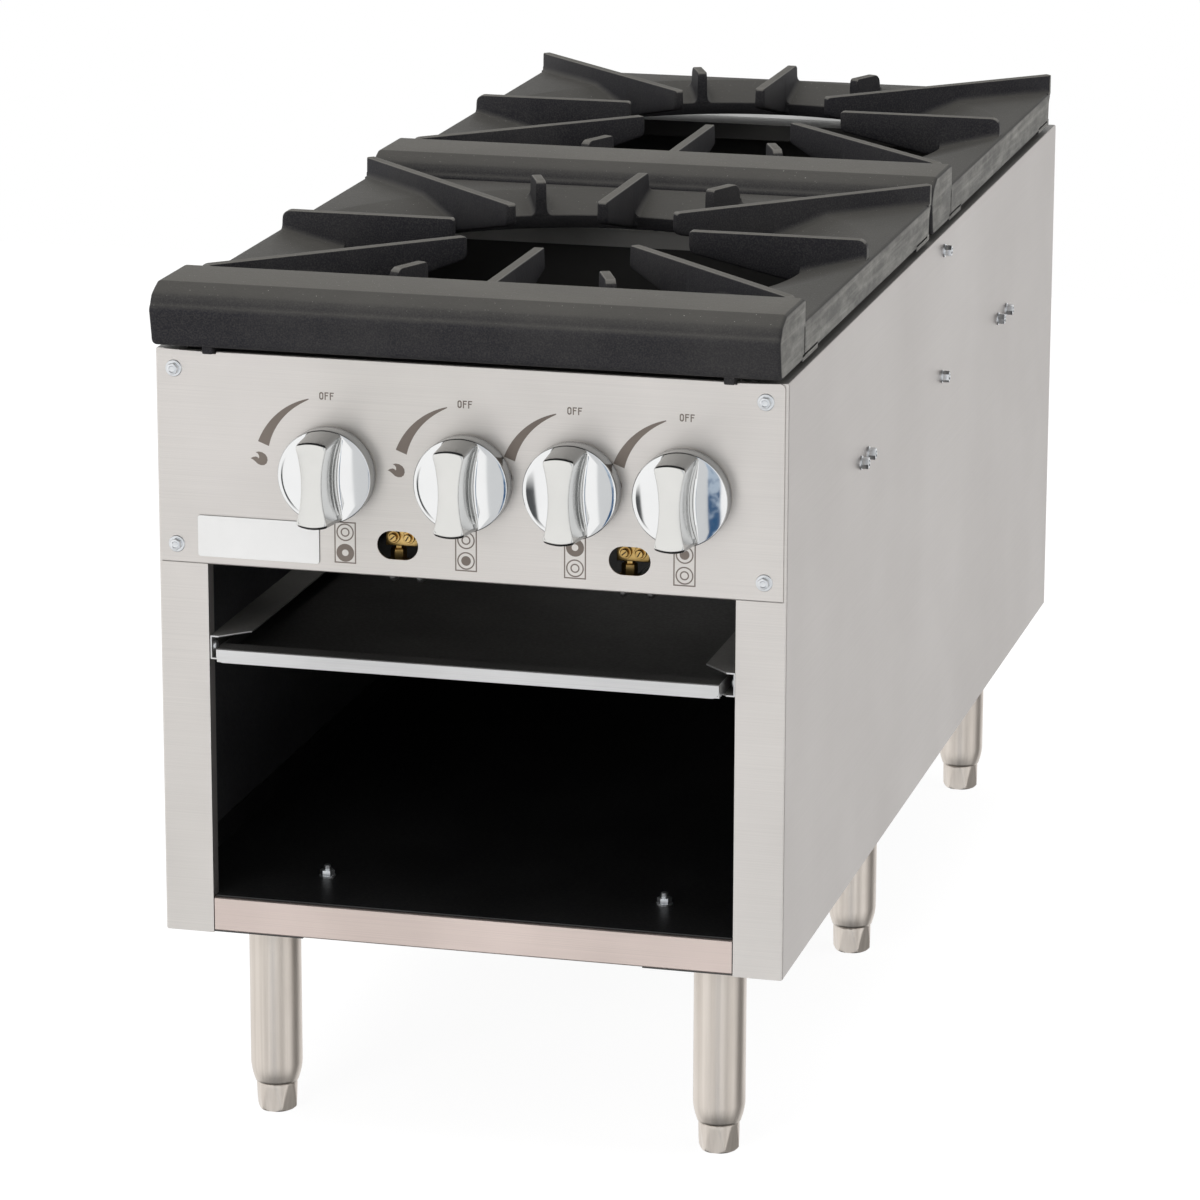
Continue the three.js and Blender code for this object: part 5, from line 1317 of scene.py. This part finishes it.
# ------------------------------------------------------------------ knobs
# For each knob, the slope of its domed face at the rim, and how far the face leans, in degrees.
KNOB_FACE = [(6.8, 2.0), (7.0, 1.45), (8.0, 0.0), (10.5, 2.2)]
KNOB_TURN = [k * pi / 72 for k in range(144)]
SKIRT_R = 33.8
DOME_R = 33.0
DOME_RIM = -16.3
GRIP_FACE = -46.0


def dome_depth(x, z, fall, lean):
    """How far forward the domed face of a knob stands at a point of it."""
    share = min(1.0, (x * x + z * z) / DOME_R ** 2)
    return DOME_RIM - 0.5 * DOME_R * tan(radians(fall)) * (1 - share) + x * tan(radians(lean))


def knob(cx, fall, lean):
    """A chromed knob: a slightly domed round skirt with a waisted grip across its face."""
    form = Form()
    rings = []
    for radius, y in ((32.8, -1.5), (33.5, -1.9), (SKIRT_R, -2.6), (SKIRT_R, -13.6), (SKIRT_R, -15.4),
                      (33.76, -15.7), (33.6, -15.98), (33.35, -16.18)):
        share = max(0.0, (-13.6 - y) / 2.7)
        rings.append([(cx + radius * cos(t), y + share * radius * cos(t) * tan(radians(lean)),
                       KNOB_Z + radius * sin(t)) for t in KNOB_TURN])
    for step in range(10):
        radius = DOME_R * (1 - step / 9.9)
        ring = []
        for t in KNOB_TURN:
            x, z = radius * cos(t), radius * sin(t)
            ring.append((cx + x, dome_depth(x, z, fall, lean), KNOB_Z + z))
        rings.append(ring)
    form.loft(rings)
    fillet, bevel, depth = 4.8, 0.7, DOME_RIM - GRIP_FACE
    stations = [(-1.2, fillet, 0.0)]
    for k in range(11):
        t = pi / 2 * k / 10
        stations.append((fillet * 1.2 * (1 - cos(t)), fillet * (1 - sin(t)), 0.0))
    stations += [(8.0, 0.0, 0.0), (16.0, 0.0, 0.0), (24.0, 0.0, 0.0)]
    stations += [(depth - 2.8 + 2.1 * k / 4, 0.0, 0.0) for k in range(5)]
    for k in range(1, 7):
        t = pi / 2 * k / 6
        stations.append((depth - bevel * (1 - sin(t)), 0.0, bevel * (1 - cos(t))))
    rings = []
    for out, flare, inset in stations:
        top = 33.3 - 0.07 * out - rounded_end(out, depth, 2.2)
        bottom = 33.3 - 0.075 * out - rounded_end(out, depth, 2.8)
        ring = []
        for x, z in grip_outline(top, bottom, flare, inset):
            foot = (dome_depth(x, z, fall, lean) - DOME_RIM) * max(0.0, 1 - max(out, 0.0) / 10.0)
            ring.append((cx + x, DOME_RIM + foot - out, KNOB_Z + z))
        rings.append(ring)
    form.loft(rings)
    return form


def rounded_end(out, depth, radius):
    """How much shorter the grip is near its face, where its ends are rounded."""
    share = max(0.0, min(0.995, (out - depth + radius) / radius))
    return radius * (1 - sqrt(1 - share * share))


def grip_outline(top_reach, bottom_reach, flare, inset):
    """The grip's outline seen from the front: waisted sides and ends rounded at their corners."""
    waist, end_half, cut = 7.4, 12.3, 2.6

    def half(z):
        share = abs(z) / 31.0
        return waist + (end_half - waist) * share ** 2 + flare * (1 - 0.75 * min(1.0, share) ** 3) - inset

    def end_height(radius):
        z = radius
        for _ in range(24):
            z = sqrt(max(1.0, radius ** 2 - half(z) ** 2))
        return z

    def corner(radius, sign):
        """From the side of the grip, round its corner, to the middle of its end."""
        tip = end_height(radius)
        side = (half(tip - cut), tip - cut)
        start = atan2(tip, half(tip)) + cut / radius
        arc = (radius * cos(start), radius * sin(start))
        points = [bezier(side, (half(tip), tip), arc, k / 6) for k in range(7)]
        for k in range(1, 9):
            t = start + (pi / 2 - start) * k / 8
            points.append((radius * cos(t), radius * sin(t)))
        return [(x, sign * z) for x, z in points]

    top = corner(top_reach - inset, 1)
    bottom = corner(bottom_reach - inset, -1)
    low, high = bottom[0][1], top[0][1]
    side = [low + (high - low) * k / 24 for k in range(1, 24)]
    right = bottom[::-1] + [(half(z), z) for z in side] + top
    left = [(-x, z) for x, z in right[::-1][1:-1]]
    return right + left


def chrome_knob(number, cx):
    """One knob: plain chrome, with darker copies of it on the skirt, the grip sides and the grip face as
    painted reflection and shade.
    """
    piece = build(knob(cx, *KNOB_FACE[number - 1]), f"chrome_knob_{number}",
                  [CHROME, SHADED_SKIRT_CHROME, SHADED_GRIP_CHROME, SHADED_FACE_CHROME],
                  # Skirt, grip sides and grip face take the darker chrome copies: painted reflection and
                  # shade.
                  f"knob_{number}_body", [f"knob_{number}"], angle=30)
    for face in piece.data.polygons:
        middle = face.center / MM
        out = hypot(middle.x - cx, middle.z - KNOB_Z)
        if abs(face.normal.y) < 0.35 and out > 29.0:
            face.material_index = 1
        elif abs(middle.x - cx) > 6.0 and middle.y - FRONT > GRIP_FACE + 0.6 and abs(face.normal.y) < 0.93:
            face.material_index = 2
        elif middle.y - FRONT < GRIP_FACE + 0.6:
            face.material_index = 3


for number, knob_x in enumerate(KNOB_X, 1):
    chrome_knob(number, knob_x)


# ------------------------------------------------------------------ legs and feet
FOOT_HEIGHT = 21.5


def leg_and_foot(side, row, x, y):
    """A leg tube with its bolt at the top, and the hexagon foot that screws into it."""
    leg = Form()
    profile = [(10.0, 21.8), (15.4, 21.8), (16.0, 22.4), (16.5, 24.0), (17.6, 27.6), (18.4, 31.2),
               (18.85, 34.4), (19.05, 36.6), (19.05, 153.4), (18.8, 154.3), (18.0, 154.7), (6.0, 154.7),
               (6.0, 166.0), (5.2, 166.7), (0, 166.7)]
    leg.loft(turned([(0, 74.4), (8.3, 74.4), (8.3, 22.4)] + profile, 72, at=(x, y, 0)))
    build(leg, f"{side}_{row}_leg_tube", LEG_METAL, "cabinet", [f"{side}_{row}_leg"])
    foot = Form()
    steps = 96
    rings = []
    for z in (0.0, 0.4, 1.0, 2.0, 4.0, 7.0, 10.0, 13.0, 16.0, 18.5, 20.4, 21.2, FOOT_HEIGHT):
        cut = 15.0 - max(0.0, (2.0 - z)) ** 1.4 * 0.76
        cut = min(cut, 15.0 - 0.7 * max(0.0, z - 20.7) ** 1.2)
        apothem = (25.5 + (30.0 - 25.5) * z / FOOT_HEIGHT) / 2
        ring = []
        for k in range(steps):
            t = 2 * pi * k / steps
            r = min(cut, hexagon_reach(apothem, t))
            ring.append((x + r * cos(t + pi / 6), y + r * sin(t + pi / 6), z))
        rings.append(ring)
    foot.loft(rings)
    foot.loft(turned([(0, 20.5), (8.0, 20.5), (8.0, 72.8), (7.3, 73.5), (0, 73.5)], 32, at=(x, y, 0)))
    build(foot, f"{side}_{row}_levelling_foot", LEG_METAL, f"{side}_{row}_foot_body",
          [f"{side}_{row}_foot"], angle=24)


for side, sign in (("left", -1), ("right", 1)):
    for row, y in LEG_Y.items():
        leg_and_foot(side, row, sign * LEG_X, y)


# ------------------------------------------------------------------ floor, light and camera
def soft_band(tree, value, low, high, soft):
    """One between two angles in degrees, falling softly to nought outside them."""
    rise = between(tree, value, radians(low - soft), radians(low + soft))
    fall = between(tree, value, radians(high - soft), radians(high + soft), 1.0, 0.0)
    return times(tree, rise, fall)


def plain_floor():
    """A pale floor that glows a little where it is looked at."""
    mesh = bpy.data.meshes.new("floor")
    reach = 2.6
    mesh.from_pydata([(-reach, -reach, 0), (reach, -reach, 0), (reach, reach, 0), (-reach, reach, 0)], [],
                     [(0, 1, 2, 3)])
    floor = bpy.data.objects.new("floor", mesh)
    bpy.context.scene.collection.objects.link(floor)
    floor.visible_glossy = False
    material = bpy.data.materials.new("pale floor")
    material.use_nodes = True
    tree = material.node_tree
    shader = tree.nodes["Principled BSDF"]
    feed(tree, shader, {"Base Color": (0.88, 0.88, 0.88, 1), "Roughness": 0.9, "Specular IOR Level": 0.0})
    glow = add_node(tree, "ShaderNodeEmission", {"Strength": 1.16})
    path = add_node(tree, "ShaderNodeLightPath")
    seen = calculate(tree, "MAXIMUM", path.outputs["Is Camera Ray"], path.outputs["Is Glossy Ray"])
    seen = calculate(tree, "MAXIMUM", seen, path.outputs["Is Transmission Ray"])
    share = times(tree, seen, 0.8)
    mix = add_node(tree, "ShaderNodeMixShader", {0: share, 1: shader, 2: glow})
    feed(tree, tree.nodes["Material Output"], {"Surface": mix})
    floor.data.materials.append(material)


def white_room():
    """A white room, with a few dark and blue cards that only bright metal mirrors."""
    world = bpy.data.worlds.new("studio")
    bpy.context.scene.world = world
    world.use_nodes = True
    tree = world.node_tree
    background = tree.nodes["Background"]
    about = add_node(tree, "ShaderNodeTexCoord").outputs["Generated"]
    way = add_node(tree, "ShaderNodeSeparateXYZ", {"Vector": about})
    forwards = times(tree, way.outputs["Y"], -1.0)
    round_about = calculate(tree, "ARCTAN2", way.outputs["X"], forwards)
    height = calculate(tree, "ARCSINE", way.outputs["Z"])
    path = add_node(tree, "ShaderNodeLightPath")
    shiny = path.outputs["Is Glossy Ray"]
    colour = (1.0, 1.0, 1.0)
    for low, high, foot, head, soft, fade, card in (
        (-190.0, 190.0, 36.0, 100.0, 1.0, 6.0, (0.02, 0.02, 0.02)),
        (-190.0, 190.0, -100.0, -44.0, 1.0, 6.0, (0.015, 0.015, 0.015)),
        (-34.0, -27.0, -27.0, -10.0, 0.4, 3.5, (0.08, 0.083, 0.086)),
        (-4.4, 4.0, -44.0, 30.0, 0.25, 4.0, (0.66, 0.67, 0.68)),
        (4.0, 9.5, -44.0, 30.0, 0.25, 1.5, None),
        (38.0, 50.0, -44.0, 36.0, 1.5, 5.0, (0.27, 0.27, 0.27)),
        (92.0, 136.0, -44.0, 36.0, 5.0, 5.0, (0.16, 0.155, 0.15)),
    ):
        if card is None:
            cloud = noise(tree, about, 11.0, 3.0, 0.6)
            lift = calculate(tree, "ADD", cloud, between(tree, height, radians(-22), radians(2), -0.12, 0.16))
            card = mixed(tree, between(tree, lift, 0.47, 0.6), (0.035, 0.095, 0.20), (0.42, 0.50, 0.60))
        flag = times(tree, soft_band(tree, round_about, low, high, soft),
                     soft_band(tree, height, foot, head, fade))
        colour = mixed(tree, times(tree, flag, shiny), colour, card)
    seen = calculate(tree, "MAXIMUM", path.outputs["Is Camera Ray"], path.outputs["Is Transmission Ray"])
    seen = calculate(tree, "MAXIMUM", seen, shiny)
    feed(tree, background, {"Color": colour, "Strength": between(tree, seen, 0.0, 1.0, 0.5, 1.0)})


def lamp(name, at, aim, size, power, colour):
    light = bpy.data.lights.new(name, "AREA")
    light.shape = "RECTANGLE"
    light.size, light.size_y = size
    light.energy = power
    light.color = colour
    holder = bpy.data.objects.new(name, light)
    holder.location = at
    holder.rotation_euler = (Vector(aim) - Vector(at)).to_track_quat("-Z", "Y").to_euler()
    holder.visible_glossy = False
    bpy.context.scene.collection.objects.link(holder)


def studio():
    plain_floor()
    white_room()
    lamp("overhead softbox", (-0.3, -0.2, 3.0), (0, 0.1, 0.5), (2.4, 2.4), 54, (1.0, 0.985, 0.965))
    lamp("left front softbox", (-1.1, -3.3, 0.9), (0, -0.4, 0.42), (1.3, 1.3), 32, (1.0, 0.985, 0.97))
    lamp("right softbox", (3.0, 0.3, 1.6), (0, 0.1, 0.4), (1.8, 1.8), 14, (1.0, 0.985, 0.97))


def camera():
    """The camera that was fitted to the photograph's edges."""
    data = bpy.data.cameras.new("camera")
    data.lens = 160.61
    data.sensor_width = 36.0
    data.clip_end = 100.0
    holder = bpy.data.objects.new("camera", data)
    forward = Vector((-0.24155700, 0.93537778, -0.25829947)).normalized()
    right = forward.cross(Vector((0, 0, 1))).normalized()
    down = forward.cross(right)
    roll = radians(0.14118)
    right = right * cos(roll) - down * sin(roll)
    up = right.cross(forward)
    turn = Matrix((right, up, -forward)).transposed()
    at = Vector((0.99705, (-3490.78 + FRONT) * MM, 1.38807))
    holder.matrix_world = Matrix.Translation(at) @ turn.to_4x4()
    bpy.context.scene.collection.objects.link(holder)
    bpy.context.scene.camera = holder


studio()
camera()
bpy.context.scene.view_settings.view_transform = "Standard"
